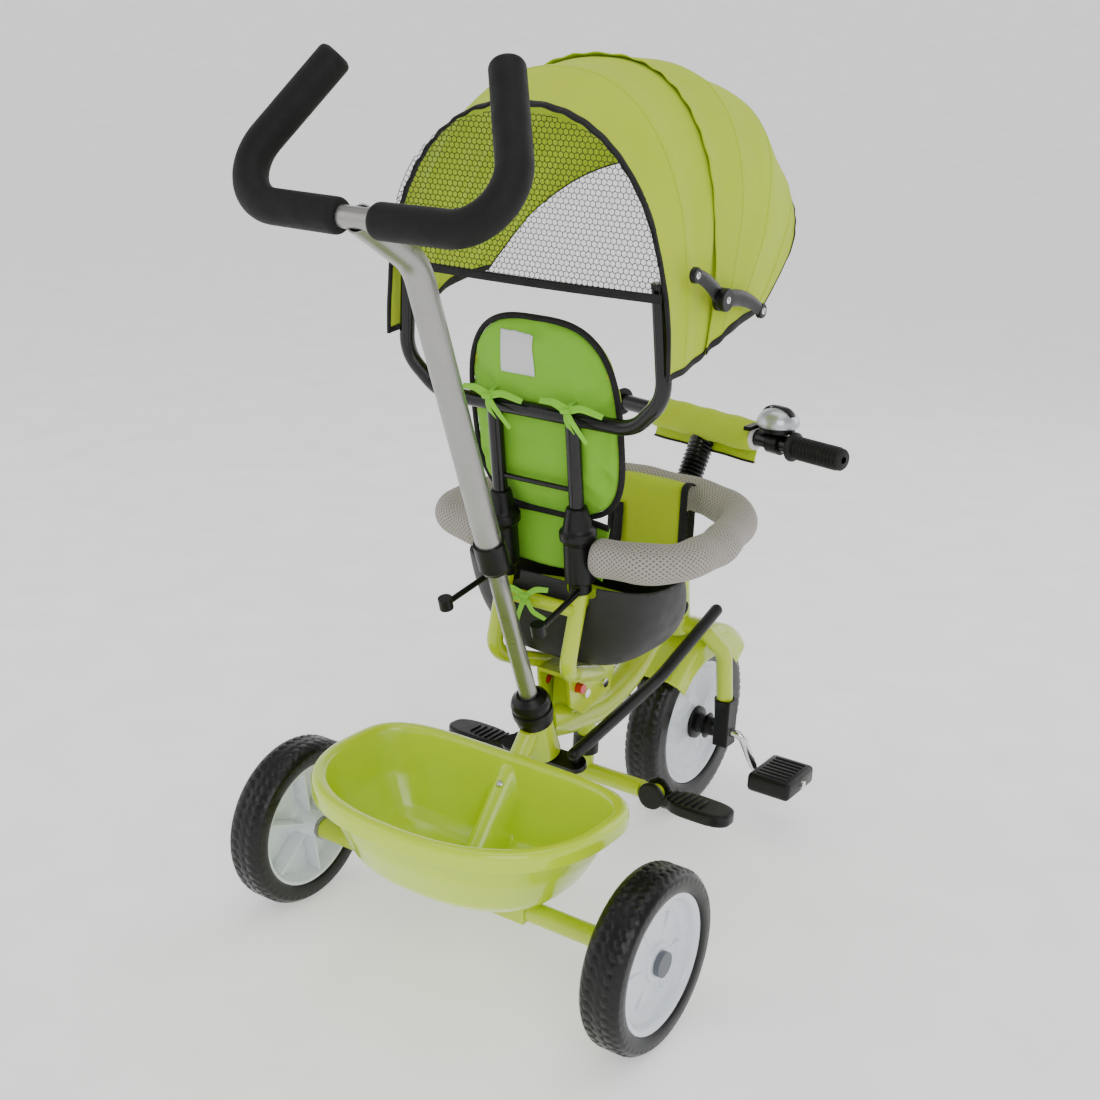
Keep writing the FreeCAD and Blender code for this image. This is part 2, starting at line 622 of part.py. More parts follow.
riser = cylinder("FootRiser", "foot_radius", "70", ("0", "-foot_ahead", "foot_height"))
foot_bar = cylinder("FootBar", "foot_radius", "2 * (foot_half - 4.5)",
                    ("-foot_half + 4.5", "-foot_ahead", "foot_height"), (1, 0, 0))
tongues = []
for side_name, side in (("Left", 1), ("Right", -1)):
    tongues.append(box(f"PegTongue{side_name}", ("30", "12", "16"),
                       (f"{side} * (foot_half - 1) - 15", "-foot_ahead - 6", "foot_height - 8")))
    tongues.append(cylinder(f"PegTongueEye{side_name}", "10", "12",
                            (f"{side} * (foot_half + 14)", "-foot_ahead + 6", "foot_height"), (0, -1, 0)))
pin_holes = [cylinder(f"PegPinHole{side}", "peg_pin_radius + fit_gap", "20",
                      (f"{side} * (foot_half + 14)", "-foot_ahead + 10", "foot_height"), (0, -1, 0))
             for side in (1, -1)]
sub_part("foot_frame", cut("FootFrame", fuse("FootSolid", riser, foot_bar, *tongues), bow, *pin_holes))
bush = cylinder("FootBushOuter", "foot_radius + 5", "24", ("0", "-foot_ahead", "foot_height + 26"))
bush_bore = cylinder("FootBushBore", "foot_radius", "26", ("0", "-foot_ahead", "foot_height + 25"))
sub_part("foot_bushing", cut("FootBushing", bush, bush_bore))
for name, side in (("left", 1), ("right", -1)):
    pivot_x = f"{side} * (foot_half + 14)"
    hub = cylinder(f"PegHub{name}", "17", "26", (pivot_x, "-foot_ahead + 13", "foot_height"), (0, -1, 0))
    neck = box(f"PegNeck{name}", ("30", "24", "12"),
               (f"{side} * (foot_half + 32) - 15", "-foot_ahead - 12", "foot_height - 8"))
    outline = rounded_outline(value("peg_length / 2"), value("peg_width / 2"), Vector(
        side * value("foot_half + 34 + peg_length / 2"), -value("foot_ahead"), value("foot_height - 9")),
        X_AXIS, Y_AXIS, 2.8)
    tread = feature(f"PegTread{name}", Part.Face(outline).extrude(Vector(0, 0, value("peg_thick"))))
    slot = cylinder(f"PegSlot{name}", "17.3", "12.6", (pivot_x, "-foot_ahead + 6.3", "foot_height"), (0, -1, 0))
    pin = cylinder(f"PegPin{name}", "peg_pin_radius", "26", (pivot_x, "-foot_ahead + 13", "foot_height"), (0, -1, 0))
    sub_part(f"foot_peg_{name}", fuse(f"FootPeg{name}", cut(
        f"PegCut{name}", fuse(f"PegSolid{name}", hub, neck, tread), slot), pin))

# ---------------------------------------------------------------- basket

BASKET_MIDDLE = -10.0
BASKET_STEPS = ((0.0, 0.60, 0.52), (0.10, 0.70, 0.64), (0.28, 0.80, 0.78), (0.62, 0.92, 0.91), (1.0, 1.0, 1.0))


def basket_outline(grow, height, wide=1.0, deep=1.0):
    """The basket's D shape at a height: squarer and a little hollow in front, round behind."""
    half_x = value("basket_half") * wide + grow
    points = []
    for step in range(32):
        angle = 2 * math.pi * step / 32
        cosine, sine = math.cos(angle), math.sin(angle)
        if sine > 0:
            y = ((value("basket_back") - BASKET_MIDDLE) * deep + grow) * sine ** (2 / 2.2)
        else:
            y = -((value("basket_front") + BASKET_MIDDLE) * deep + grow) * (-sine) ** (2 / 4.2)
            y += 8 * deep * (-sine) ** 6
        points.append(Vector(half_x * math.copysign(abs(cosine) ** (2 / 2.4), cosine), BASKET_MIDDLE + y, height))
    return closed_curve(points)


rim_z, base_z, wall = value("basket_rim_height"), value("basket_base_height"), value("basket_wall")


def basket_solid(inset, base_height, top_height):
    """The basket's bowl as a solid block, drawn in by inset, between two heights."""
    outlines = [basket_outline(-inset, base_height + (rim_z - base_height) * rise, wide, deep)
                for rise, wide, deep in BASKET_STEPS]
    if top_height > rim_z:
        outlines.append(basket_outline(-inset, top_height))
    return Part.makeLoft(outlines, True, True)


def lip_block(grow, low, high):
    return Part.makeLoft([basket_outline(grow, low), basket_outline(grow, high)], True, True)


def stay_bar(radius):
    """A round bar along the stay and past both of its ends."""
    return Part.makeCylinder(radius, (stay_foot - stay_top).Length + 120, stay_top - stay_along * 60, stay_along)


lip, skirt = value("basket_lip"), value("basket_skirt")
lip_solid = lip_block(lip, rim_z - skirt, rim_z).cut(lip_block(lip - wall, rim_z - skirt - 5, rim_z - wall))
hollow = basket_solid(wall, base_z + wall, rim_z + 5).cut(stay_bar(value("stay_radius") + 4.5))
stay_slot = Part.makeBox(2 * value("stay_radius"), 80, (stay_foot - stay_top).Length + 120,
                         Vector(-value("stay_radius"), -80, 0))
stay_slot.Placement = Placement(stay_top - stay_along * 60, Rotation(X_AXIS, Vector(), stay_along, "XZY"))
if stay_slot.CenterOfMass.y > (stay_top.y + stay_foot.y) / 2:
    stay_slot.Placement = Placement(stay_top - stay_along * 60, Rotation(X_AXIS * -1, Vector(), stay_along, "XZY"))
solid = basket_solid(0, base_z, rim_z).fuse(lip_solid).cut(hollow)
solid = solid.cut(stay_bar(value("stay_radius + 1"))).cut(stay_slot)
sub_part("rear_basket", feature("RearBasket", solid))

# ---------------------------------------------------------------- seat frame

UP_LEAN = Vector(0, 0.162, 0.987)
tube_top = point("seat_tube_half", -138, 424)
seat_tube_points = [tube_top, point("seat_tube_half", -117, 334), point("seat_tube_half - 10", -150, 318),
                    point("bow_width / 2 + 10", -225, 292)]
seat_tube = bent_tube(seat_tube_points, value("seat_tube_radius"), 30)
seat_cross = Part.makeCylinder(8, 2 * value("seat_tube_half"), point("-seat_tube_half", -128, 404), X_AXIS)
socket_foot = Part.makeCylinder(13, 20, tube_top, UP_LEAN)
sub_part("seat_tubes", feature("SeatTubes", seat_tube.fuse([mirror_shape(seat_tube), seat_cross]).removeSplitter()
                               .cut([socket_foot, mirror_shape(socket_foot)])))
plates = []
for side_name, side in (("Left", 1), ("Right", -1)):
    corners = [Vector(side * value("bow_width / 2 + 1.5"), y, z) for y, z in (
        (-168, 300), (-176, 262), (-205, 244), (-262, 258), (-274, 300), (-168, 300))]
    plates.append(feature(f"BracketPlate{side_name}",
                          Part.Face(Part.makePolygon(corners)).extrude(Vector(side * 4, 0, 0))))
bridge = box("BracketBridge", ("bow_width + 11", "106", "5"), ("-bow_width / 2 - 5.5", "-274", "300"))
button_hole = cylinder("ButtonHole", "6.4", "2 * bow_width", ("-bow_width", "-188", "284"), (1, 0, 0))
sub_part("seat_bracket", cut("SeatBracket", fuse("SeatBracketSolid", *plates, bridge), button_hole,
                             feature("BracketTubeSpace", Part.makeCompound([seat_tube, mirror_shape(seat_tube)]))))
mount_block = box("SeatMountBlock", ("bow_width - 6", "70", "54"), ("-bow_width / 2 + 3", "-262", "240"))
sub_part("seat_mount", cut("SeatMount", mount_block, bow))
bolts = [cylinder(f"SeatBolt{side}{i}", "5.5", "4.5", (f"{side} * (bow_width / 2 + 5.5)", y, 272), (side, 0, 0))
         for side in (1, -1) for i, y in enumerate((-205, -245))]
sub_part("seat_bolts", *bolts)
for name, side in (("left", 1), ("right", -1)):
    sub_part(f"release_button_{name}", cylinder(f"Button{name}", "6", "12",
             (f"{side} * (bow_width / 2 + 1.8)", "-188", "284"), (side, 0, 0)))

sockets = []
for side_name, side in (("Left", 1), ("Right", -1)):
    low = (f"{side} * seat_tube_half", "-138", "424")
    socket = turned(f"Socket{side_name}", [
        ("0", "0"), ("0", "13"), ("14", "13"), ("14", "socket_radius"), ("64", "socket_radius"), ("66", "21"),
        ("76", "21"), ("78", "17"), ("104", "12"), ("104", "0")], low, UP_LEAN)
    sockets.append(socket)
sub_part("seat_sockets", *sockets)

socket_top = tube_top + UP_LEAN * 104.1
bar_y = -104.0
upright = [socket_top, Vector(socket_top.x, bar_y, value("back_bar_height"))]
arm_points = [Vector(0, bar_y, value("back_bar_height")), Vector(value("arm_half") - 40, bar_y, value("back_bar_height")),
              point("arm_half", -94, 668), point("arm_half - 9", -84, "arm_top")]
arm = bent_tube(arm_points, value("back_tube_radius"), 45)
riser_tube = Part.makeCylinder(value("back_tube_radius"), (upright[1] - upright[0]).Length, upright[0], upright[1] - upright[0])
wire = Part.makeCylinder(3, 2 * value("seat_tube_half"), Vector(-value("seat_tube_half"), -118, 545), X_AXIS)
sub_part("back_frame", feature("BackFrame", arm.fuse([mirror_shape(arm), riser_tube, mirror_shape(riser_tube), wire]).removeSplitter()))

hooks = []
for side in (1, -1):
    base_point = Vector(side * (value("seat_tube_half") + 6), -122, 428)
    end_point = Vector(side * 62, -42, 410)
    hook_rod = Part.makeCylinder(3.5, (end_point - base_point).Length, base_point, end_point - base_point)
    cup = Part.makeCylinder(8, 14, end_point - Vector(0, 0, 6), Vector(0, 0.3, 0.95))
    hooks.append(hook_rod.fuse(cup).removeSplitter())
socket_room = feature("SocketRoom", Part.makeCompound([Part.makeCylinder(value("socket_radius") + 0.1, 60, Vector(
    side * value("seat_tube_half"), -138, 424), UP_LEAN) for side in (1, -1)]))
sub_part("bag_hooks", cut("BagHooks", feature("HookRods", Part.makeCompound(hooks)), socket_room))

# ---------------------------------------------------------------- seat shell and cushions

def seat_section(half_x, front, back, height, power=3.2):
    return rounded_outline(half_x, (back - front) / 2, Vector(0, (back + front) / 2, height), X_AXIS, Y_AXIS, power)


shell = lofted([seat_section(74, -292, -168, 324), seat_section(108, -305, -152, 352), seat_section(128, -290, -140, 400),
                seat_section(132, -270, -136, 432)])
shell_room = lofted([seat_section(70, -289, -171, 328), seat_section(104.5, -301.5, -155.5, 354),
                     seat_section(124.5, -286.5, -143.5, 401), seat_section(128.5, -266.5, -139.5, 440)])
seat_tube_room = Part.makeCompound([bent_tube(seat_tube_points, value("seat_tube_radius") + 0.5, 30),
                                    mirror_shape(bent_tube(seat_tube_points, value("seat_tube_radius") + 0.5, 30))])
socket_space = Part.makeCylinder(value("socket_radius + soft_gap"), 70, tube_top - UP_LEAN * 5, UP_LEAN)
sub_part("seat_shell", feature("SeatShell", shell.cut(shell_room).cut(
    [seat_tube_room, socket_space, mirror_shape(socket_space)])))

seat_pad = lofted([seat_section(64, -286, -176, 329.5), seat_section(98, -330, -162, 352), seat_section(116, -340, -150, 372),
                   seat_section(108, -330, -155, 380)])
seat_pad = seat_pad.cut(shell.cut(shell_room)).cut(lofted([
    seat_section(74.5, -292.5, -167.5, 323), seat_section(108.5, -305.5, -151.5, 352), seat_section(128.5, -290.5, -139.5, 400)]).cut(shell_room))
sub_part("seat_cushion", feature("SeatCushion", max(seat_pad.Solids, key=lambda s: s.Volume)))

back_low, back_high = Vector(0, -143, 500), Vector(0, -94, 727)
back_up = (back_high - back_low).normalize()
back_front = back_up.cross(X_AXIS)
back_front = back_front if back_front.y < 0 else back_front * -1


def back_outline(depth, scale):
    """The back cushion's outline, depth in front of its back face."""
    middle = (back_low + back_high) * 0.5 + back_front * depth
    points = []
    for step in range(36):
        angle = 2 * math.pi * step / 36
        cosine, sine = math.cos(angle), math.sin(angle)
        u = value("back_pad_half") * scale * math.copysign(abs(cosine) ** (2 / 3.2), cosine)
        w = (back_high - back_low).Length / 2 * scale * math.copysign(
            abs(sine) ** (2 / (2.6 if sine > 0 else 3.6)), sine)
        points.append(middle + X_AXIS * u + back_up * w)
    return closed_curve(points)


thick = value("cushion_thick")
sub_part("back_cushion", feature("BackCushion", lofted([
    back_outline(0, 0.97), back_outline(thick * 0.3, 1.0), back_outline(thick * 0.75, 0.96),
    back_outline(thick, 0.86)])))

crotch = lofted([seat_section(52, -386, -362, z, 3.0) for z in (386, 420, 455)] + [seat_section(48, -388, -366, 500, 3.0)])
sub_part("crotch_guard", feature("CrotchGuard", crotch))

ring_points = [point("seat_tube_half + socket_radius + 2", -128, "ring_height"), point("ring_half", -150, "ring_height"),
               point("ring_half + 4", -250, "ring_height"), point("ring_half - 22", -368, "ring_height + 3"),
               point(60, "-ring_ahead", "ring_height + 8"), point(0, "-ring_ahead", "ring_height + 8")]
ring = bent_tube(ring_points, value("ring_radius"), 70)
socket_flange = Part.makeCylinder(21 + value("soft_gap"), 60, tube_top + UP_LEAN * 40, UP_LEAN)
sub_part("guard_ring", feature("GuardRing", ring.fuse(mirror_shape(ring)).removeSplitter().cut(
    [crotch, socket_flange, mirror_shape(socket_flange)])))

# ---------------------------------------------------------------- canopy

PIVOT = point(0, "-hinge_ahead", "hinge_height")


def arch(base, apex, half_width, inset, power=2.3, count=16):
    """A thin crescent section: an arch over two base points, its inner copy and the lines between."""
    base, apex = Vector(0, *base), Vector(0, *apex)
    rise = apex - base
    outer, inner = [], []
    for step in range(count + 1):
        angle = math.pi * step / count
        cosine, sine = math.cos(angle), math.sin(angle)
        u = math.copysign(abs(cosine) ** (2 / power), cosine)
        w = abs(sine) ** (2 / power)
        outer.append(base + X_AXIS * (half_width * u) + rise * w)
        inner.append(base + X_AXIS * ((half_width - inset) * u) + rise * (w * (rise.Length - inset) / rise.Length))
    curves = []
    for points in (outer, inner):
        curve = Part.BSplineCurve()
        curve.interpolate(points)
        curves.append(curve.toShape())
    return Part.Wire([curves[0], Part.LineSegment(outer[-1], inner[-1]).toShape(), curves[1],
                      Part.LineSegment(inner[0], outer[0]).toShape()])


def from_pivot(radius, angle):
    """A side-view point at a radius and an angle above straight ahead of the canopy hinge."""
    turn = math.radians(angle)
    return PIVOT.y - radius * math.cos(turn), PIVOT.z + radius * math.sin(turn)


side_x, wall = value("canopy_half"), value("canopy_wall")
REAR_EDGE = ((-76, 690), (-62, 945))
sub_part("canopy_rear", feature("CanopyRear", Part.makeLoft([
    arch(*REAR_EDGE, side_x, wall), arch((-105, 694), (-128, 980), side_x, wall),
    arch((-140, 704), (-205, 990), side_x, wall)], True, False)))
sub_part("canopy_front", feature("CanopyFront", Part.makeLoft([
    arch((-146, 708), (-210, 998), side_x + 6, wall), arch((-190, 728), from_pivot(286, 44), side_x + 8, wall, 2.8),
    arch((-235, 738), from_pivot(302, 27), side_x + 6, wall, 2.8),
    arch((-262, 742), from_pivot(306, 21), side_x + 3, wall, 2.8)], True, False)))

mesh_up = (Vector(0, *REAR_EDGE[1]) - Vector(0, *REAR_EDGE[0])).normalize()
mesh_low = Vector(0, -69, 772)
mesh_rise = (REAR_EDGE[1][1] - 4 - mesh_low.z) / mesh_up.z
mesh_points = []
for step in range(17):
    angle = math.pi * step / 16
    cosine, sine = math.cos(angle), math.sin(angle)
    mesh_points.append(mesh_low + X_AXIS * ((side_x - wall - 4) * math.copysign(abs(cosine) ** (2 / 2.3), cosine))
                       + mesh_up * (mesh_rise * abs(sine) ** (2 / 2.3)))
mesh_arch = Part.BSplineCurve()
mesh_arch.interpolate(mesh_points)
mesh_face = Part.Face(Part.Wire([mesh_arch.toShape(),
                                 Part.LineSegment(mesh_points[-1], mesh_points[0]).toShape()]))
sub_part("canopy_mesh", feature("CanopyMesh", mesh_face.extrude(Vector(0, -1.5, 0))))

bar_x, bar_gap = side_x + 12, 0.4


def hinge_bar(target, layer):
    """A flat bar from the canopy hinge to its outer screw, on the left side."""
    thick = value("hinge_bar")
    across = (target - PIVOT).normalize()
    normal = X_AXIS.cross(across)
    corners = [PIVOT + normal * 7, target + normal * 6, target - normal * 6, PIVOT - normal * 7]
    slab = Part.Face(Part.makePolygon(corners + corners[:1])).extrude(X_AXIS * thick)
    bar = slab.fuse([Part.makeCylinder(10, thick, PIVOT, X_AXIS), Part.makeCylinder(7, thick, target, X_AXIS)])
    bar.translate(X_AXIS * (bar_x + layer * (thick + bar_gap)))
    return bar.removeSplitter()


pin_start = PIVOT + X_AXIS * bar_x
fixed_bar = hinge_bar(Vector(0, -90, 796), 0).fuse(
    Part.makeCylinder(3, 2 * value("hinge_bar") + 3, pin_start, X_AXIS)).removeSplitter()
moving_bar = hinge_bar(Vector(0, -226, 747), 1).cut(
    Part.makeCylinder(value("3 + fit_gap"), 40, pin_start, X_AXIS))
sub_part("canopy_hinges", feature("CanopyHinges", Part.makeCompound([fixed_bar, mirror_shape(fixed_bar)])))
sub_part("canopy_levers", feature("CanopyLevers", Part.makeCompound([moving_bar, mirror_shape(moving_bar)])))

# ---------------------------------------------------------------- check and export

doc.recompute()
broken = [thing.Name for thing in doc.Objects if "Invalid" in thing.State or "Error" in thing.State]
for part in SUB_PARTS:
    if part.Shape.isNull() or not part.Shape.isValid() or not part.Shape.Solids:
        broken.append(part.Label)
if broken:
    raise RuntimeError("failed objects: " + ", ".join(broken))
os.makedirs("parts", exist_ok=True)
for part in SUB_PARTS:
    part.Shape.exportStep(f"parts/{part.Label}.step")
print(len(SUB_PARTS), "sub-parts written")
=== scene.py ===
"""Looks of a children's push tricycle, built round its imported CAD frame.

Each sub-assembly is a class that models its pieces and dresses them; main() builds them in order.
Lengths are metres. Y is measured from the rear axle in the shape methods and moved into the frame
by Frame.at, so the pieces keep to the CAD wherever its origin lies.
"""
from __future__ import annotations

import logging
import math
from collections.abc import Callable, Sequence
from dataclasses import dataclass
from enum import Enum

import bmesh
import bpy
from mathutils import Matrix, Vector

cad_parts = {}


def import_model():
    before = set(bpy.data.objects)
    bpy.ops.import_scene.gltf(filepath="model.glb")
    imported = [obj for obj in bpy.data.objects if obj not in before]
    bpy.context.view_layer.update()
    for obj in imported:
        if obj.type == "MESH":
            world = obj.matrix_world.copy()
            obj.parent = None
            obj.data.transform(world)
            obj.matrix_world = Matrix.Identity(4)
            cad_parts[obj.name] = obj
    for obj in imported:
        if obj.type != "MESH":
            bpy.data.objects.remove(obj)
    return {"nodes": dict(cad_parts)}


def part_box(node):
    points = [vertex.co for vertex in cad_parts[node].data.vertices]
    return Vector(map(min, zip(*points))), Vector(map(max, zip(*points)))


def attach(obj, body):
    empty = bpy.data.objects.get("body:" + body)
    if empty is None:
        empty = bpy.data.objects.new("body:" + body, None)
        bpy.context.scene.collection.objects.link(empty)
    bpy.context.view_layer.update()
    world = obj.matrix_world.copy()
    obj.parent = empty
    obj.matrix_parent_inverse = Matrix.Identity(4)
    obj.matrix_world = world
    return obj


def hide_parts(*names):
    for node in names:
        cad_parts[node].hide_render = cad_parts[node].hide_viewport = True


LOG = logging.getLogger("tricycle")
MM = 0.001
FULL_TURN = 2.0 * math.pi
Shape = Callable[[float, float], Vector]
Colour = tuple[float, float, float]


class Side(Enum):
    """The rider's two sides; the value is the sign of X."""

    LEFT = 1
    RIGHT = -1


# ---------------------------------------------------------------- modelling helpers

def deselect_all() -> None:
    """Leaves object mode with nothing selected."""
    if bpy.context.object and bpy.context.object.mode != "OBJECT":
        bpy.ops.object.mode_set(mode="OBJECT")
    bpy.ops.object.select_all(action="DESELECT")


def take(piece: bpy.types.Object) -> bpy.types.Object:
    """Selects one piece alone and makes it active."""
    deselect_all()
    piece.select_set(True)
    bpy.context.view_layer.objects.active = piece
    return piece


def name_new(name: str) -> bpy.types.Object:
    """Names the piece that an operator has just added."""
    piece = bpy.context.object
    piece.name = name
    piece.data.name = name
    return piece


def apply_all(piece: bpy.types.Object) -> bpy.types.Object:
    """Applies every modifier of a piece in order."""
    take(piece)
    for modifier in list(piece.modifiers):
        bpy.ops.object.modifier_apply(modifier=modifier.name)
    return piece


def settle(piece: bpy.types.Object) -> bpy.types.Object:
    """Puts a piece's place into its mesh, so that the object sits at the origin."""
    take(piece)
    bpy.ops.object.transform_apply(location=True, rotation=True, scale=True)
    return piece


def shade(piece: bpy.types.Object, angle: float = 40.0) -> bpy.types.Object:
    """Smooths the shading except across edges sharper than an angle in degrees."""
    take(piece)
    bpy.ops.object.shade_smooth_by_angle(angle=math.radians(angle))
    return piece


def clean(piece: bpy.types.Object, gap: float = 0.00002, outward: bool = True) -> bpy.types.Object:
    """Merges doubled points and, on a closed shape, turns its faces outwards."""
    take(piece)
    bpy.ops.object.mode_set(mode="EDIT")
    bpy.ops.mesh.select_all(action="SELECT")
    bpy.ops.mesh.remove_doubles(threshold=gap)
    bpy.ops.mesh.dissolve_degenerate(threshold=gap / 2)
    if outward:
        bpy.ops.mesh.normals_make_consistent(inside=False)
    bpy.ops.object.mode_set(mode="OBJECT")
    return piece


def join(name: str, pieces: Sequence[bpy.types.Object]) -> bpy.types.Object:
    """Joins pieces into the first one and names it."""
    take(pieces[0])
    for piece in pieces:
        piece.select_set(True)
    bpy.ops.object.join()
    return name_new(name)


def surface(name: str, columns: int, rows: int, shape: Shape, size: tuple[float, float] = (1.0, 1.0),
            outward: bool = True, angle: float = 40.0) -> bpy.types.Object:
    """A grid bent into a surface.

    Args:
        name: The piece's name.
        columns: Faces along the first direction.
        rows: Faces along the second direction.
        shape: Gives the place of each point from its two shares, both from 0 to 1.
        size: The cloth's or plastic's real width and length, which the UV map is scaled to.
        outward: Whether the surface closes on itself and its faces are turned outwards.
        angle: The sharpest edge, in degrees, that is still shaded smooth.

    Returns:
        The new piece.
    """
    deselect_all()
    bpy.ops.mesh.primitive_grid_add(x_subdivisions=columns, y_subdivisions=rows, size=1.0)
    piece = name_new(name)
    for vertex in piece.data.vertices:
        vertex.co = shape(vertex.co.x + 0.5, vertex.co.y + 0.5)
    for corner in piece.data.uv_layers.active.data:
        corner.uv = (corner.uv[0] * size[0], corner.uv[1] * size[1])
    clean(piece, outward=outward)
    return shade(piece, angle)


def rounded_route(points: Sequence[Vector], bend: float, step: float = 0.004) -> list[Vector]:
    """Points along straight runs joined by arcs.

    Args:
        points: The corners of the route.
        bend: The arcs' radius, smaller where a run is short.
        step: The distance between the points.

    Returns:
        The points from the first corner to the last.
    """
    route = [points[0].copy()]
    for before, corner, after in zip(points, points[1:], points[2:]):
        back, ahead = (before - corner).normalized(), (after - corner).normalized()
        turn = math.pi - back.angle(ahead)
        reach = min(bend * math.tan(turn / 2), 0.48 * (before - corner).length,
                    0.48 * (after - corner).length)
        radius = reach / math.tan(turn / 2)
        first, last = corner + back * reach, corner + ahead * reach
        middle = corner + (back + ahead).normalized() * (radius / math.cos(turn / 2))
        count = max(4, int(turn * radius / step))
        route.append(first)
        for index in range(1, count):
            share = index / count
            spoke = (first - middle).normalized().slerp((last - middle).normalized(), share)
            route.append(middle + spoke * radius)
        route.append(last)
    route.append(points[-1].copy())
    return evenly(route, step)


def evenly(route: Sequence[Vector], step: float) -> list[Vector]:
    """The route again with its points a step apart."""
    lengths = [0.0]
    for first, second in zip(route, route[1:]):
        lengths.append(lengths[-1] + (second - first).length)
    count = max(2, round(lengths[-1] / step))
    result, index = [], 0
    for number in range(count + 1):
        wanted = lengths[-1] * number / count
        while index < len(lengths) - 2 and lengths[index + 1] < wanted:
            index += 1
        span = max(lengths[index + 1] - lengths[index], 1e-9)
        result.append(route[index].lerp(route[index + 1], (wanted - lengths[index]) / span))
    return result


def length_of(route: Sequence[Vector]) -> float:
    """The length of a route."""
    return sum((second - first).length for first, second in zip(route, route[1:]))


def sweep(name: str, route: Sequence[Vector], radius: Callable[[float], float], sides: int = 28,
          across: Callable[[float], float] | None = None, up: Vector | None = None,
          closed: bool = False) -> bpy.types.Object:
    """A round or oval bar along a route, closed at both ends unless the route is a loop.

    Args:
        name: The piece's name.
        route: The points of its centre line.
        radius: The radius at each share of the route's length.
        sides: The faces round it.
        across: The half width the other way, where the bar isn't round.
        up: The direction that the radius is measured in, where the bar isn't round.
        closed: Whether the route's end meets its start.

    Returns:
        The new piece.
    """
    count = len(route) - 1
    headings = [(route[min(i + 1, count)] - route[max(i - 1, 0)]).normalized() for i in range(count + 1)]
    if closed:
        headings[0] = headings[-1] = (route[1] - route[-2]).normalized()
    normal = up if up else headings[0].orthogonal()
    frames = []
    for heading in headings:
        normal = ((up if up else normal) - heading * (up if up else normal).dot(heading)).normalized()
        frames.append((normal.copy(), heading.cross(normal).normalized()))
    caps = 0 if closed else 1

    def place(u: float, v: float) -> Vector:
        """The place of a point from its two shares."""
        number = round(v * (count + 2 * caps)) - caps
        index = min(max(number, 0), count)
        share = index / count
        if number in (-1, count + 1):
            return route[index]
        first, second = frames[index]
        angle = FULL_TURN * u
        tall = radius(share)
        wide = across(share) if across else tall
        return route[index] + first * (tall * math.cos(angle)) + second * (wide * math.sin(angle))

    return surface(name, sides, count + 2 * caps, place, (FULL_TURN * radius(0.5), length_of(route)))


def turned(name: str, profile: Sequence[tuple[float, float]], centre: Vector, axis: Vector,
           steps: int = 64, angle: float = 35.0) -> bpy.types.Object:
    """A closed profile spun round an axis.

    Args:
        name: The piece's name.
        profile: The corners as (along the axis, radius).
        centre: Where along is 0.
        axis: The axis's direction.
        steps: The faces round it.
        angle: The sharpest edge, in degrees, that is still shaded smooth.

    Returns:
        The new piece.
    """
    along = axis.normalized()
    spoke = along.orthogonal().normalized()
    deselect_all()
    bpy.ops.mesh.primitive_circle_add(vertices=len(profile), radius=0.1)
    piece = name_new(name)
    for vertex, (reach, radius) in zip(piece.data.vertices, profile):
        vertex.co = centre + along * reach + spoke * radius
    bpy.ops.object.mode_set(mode="EDIT")
    bpy.ops.mesh.select_all(action="SELECT")
    bpy.ops.mesh.spin(steps=steps, angle=FULL_TURN, center=centre, axis=along)
    bpy.ops.object.mode_set(mode="OBJECT")
    clean(piece)
    return shade(piece, angle)


def rounded_profile(corners: Sequence[tuple[float, float, float]],
                    steps: int = 4) -> list[tuple[float, float]]:
    """A profile whose corners are rounded, each by its own radius."""
    result = []
    count = len(corners)
    for index, (x, y, radius) in enumerate(corners):
        corner = Vector((x, y, 0))
        back = Vector((*corners[index - 1][:2], 0)) - corner
        ahead = Vector((*corners[(index + 1) % count][:2], 0)) - corner
        if radius <= 0:
            result.append((x, y))
            continue
        reach = min(radius, 0.45 * back.length, 0.45 * ahead.length)
        first, last = corner + back.normalized() * reach, corner + ahead.normalized() * reach
        for step in range(steps + 1):
            share = step / steps
            spot = first.lerp(corner, share).lerp(corner.lerp(last, share), share)
            result.append((spot.x, max(spot.y, 0.0)))
    return result


def block(name: str, centre: Vector, size: Vector, bevel: float, segments: int = 3) -> bpy.types.Object:
    """A box with rounded edges, the raw form of a moulded block."""
    deselect_all()
    bpy.ops.mesh.primitive_cube_add(size=1.0, location=centre)
    piece = name_new(name)
    piece.scale = size
    settle(piece)
    bpy.ops.object.mode_set(mode="EDIT")
    bpy.ops.mesh.select_all(action="SELECT")
    bpy.ops.mesh.bevel(offset=bevel, segments=segments, affect="EDGES")
    bpy.ops.object.mode_set(mode="OBJECT")
    return shade(piece)


def thicken(piece: bpy.types.Object, thickness: float, offset: float = -1.0,
            levels: int = 0) -> bpy.types.Object:
    """Gives a sheet its thickness and, if asked, one or more subdivisions."""
    solid = piece.modifiers.new("Thickness", "SOLIDIFY")
    solid.thickness = thickness
    solid.offset = offset
    if levels:
        smooth = piece.modifiers.new("Smooth", "SUBSURF")
        smooth.levels = smooth.render_levels = levels
    return apply_all(piece)


def copy_node(node: str, name: str) -> bpy.types.Object:
    """A new piece with a merged copy of a CAD node's mesh."""
    deselect_all()
    source = FRAME.nodes[node]
    piece = bpy.data.objects.new(name, source.data.copy())
    piece.data.name = name
    piece.data.materials.clear()
    bpy.context.scene.collection.objects.link(piece)
    return clean(piece, 0.00001, outward=False)


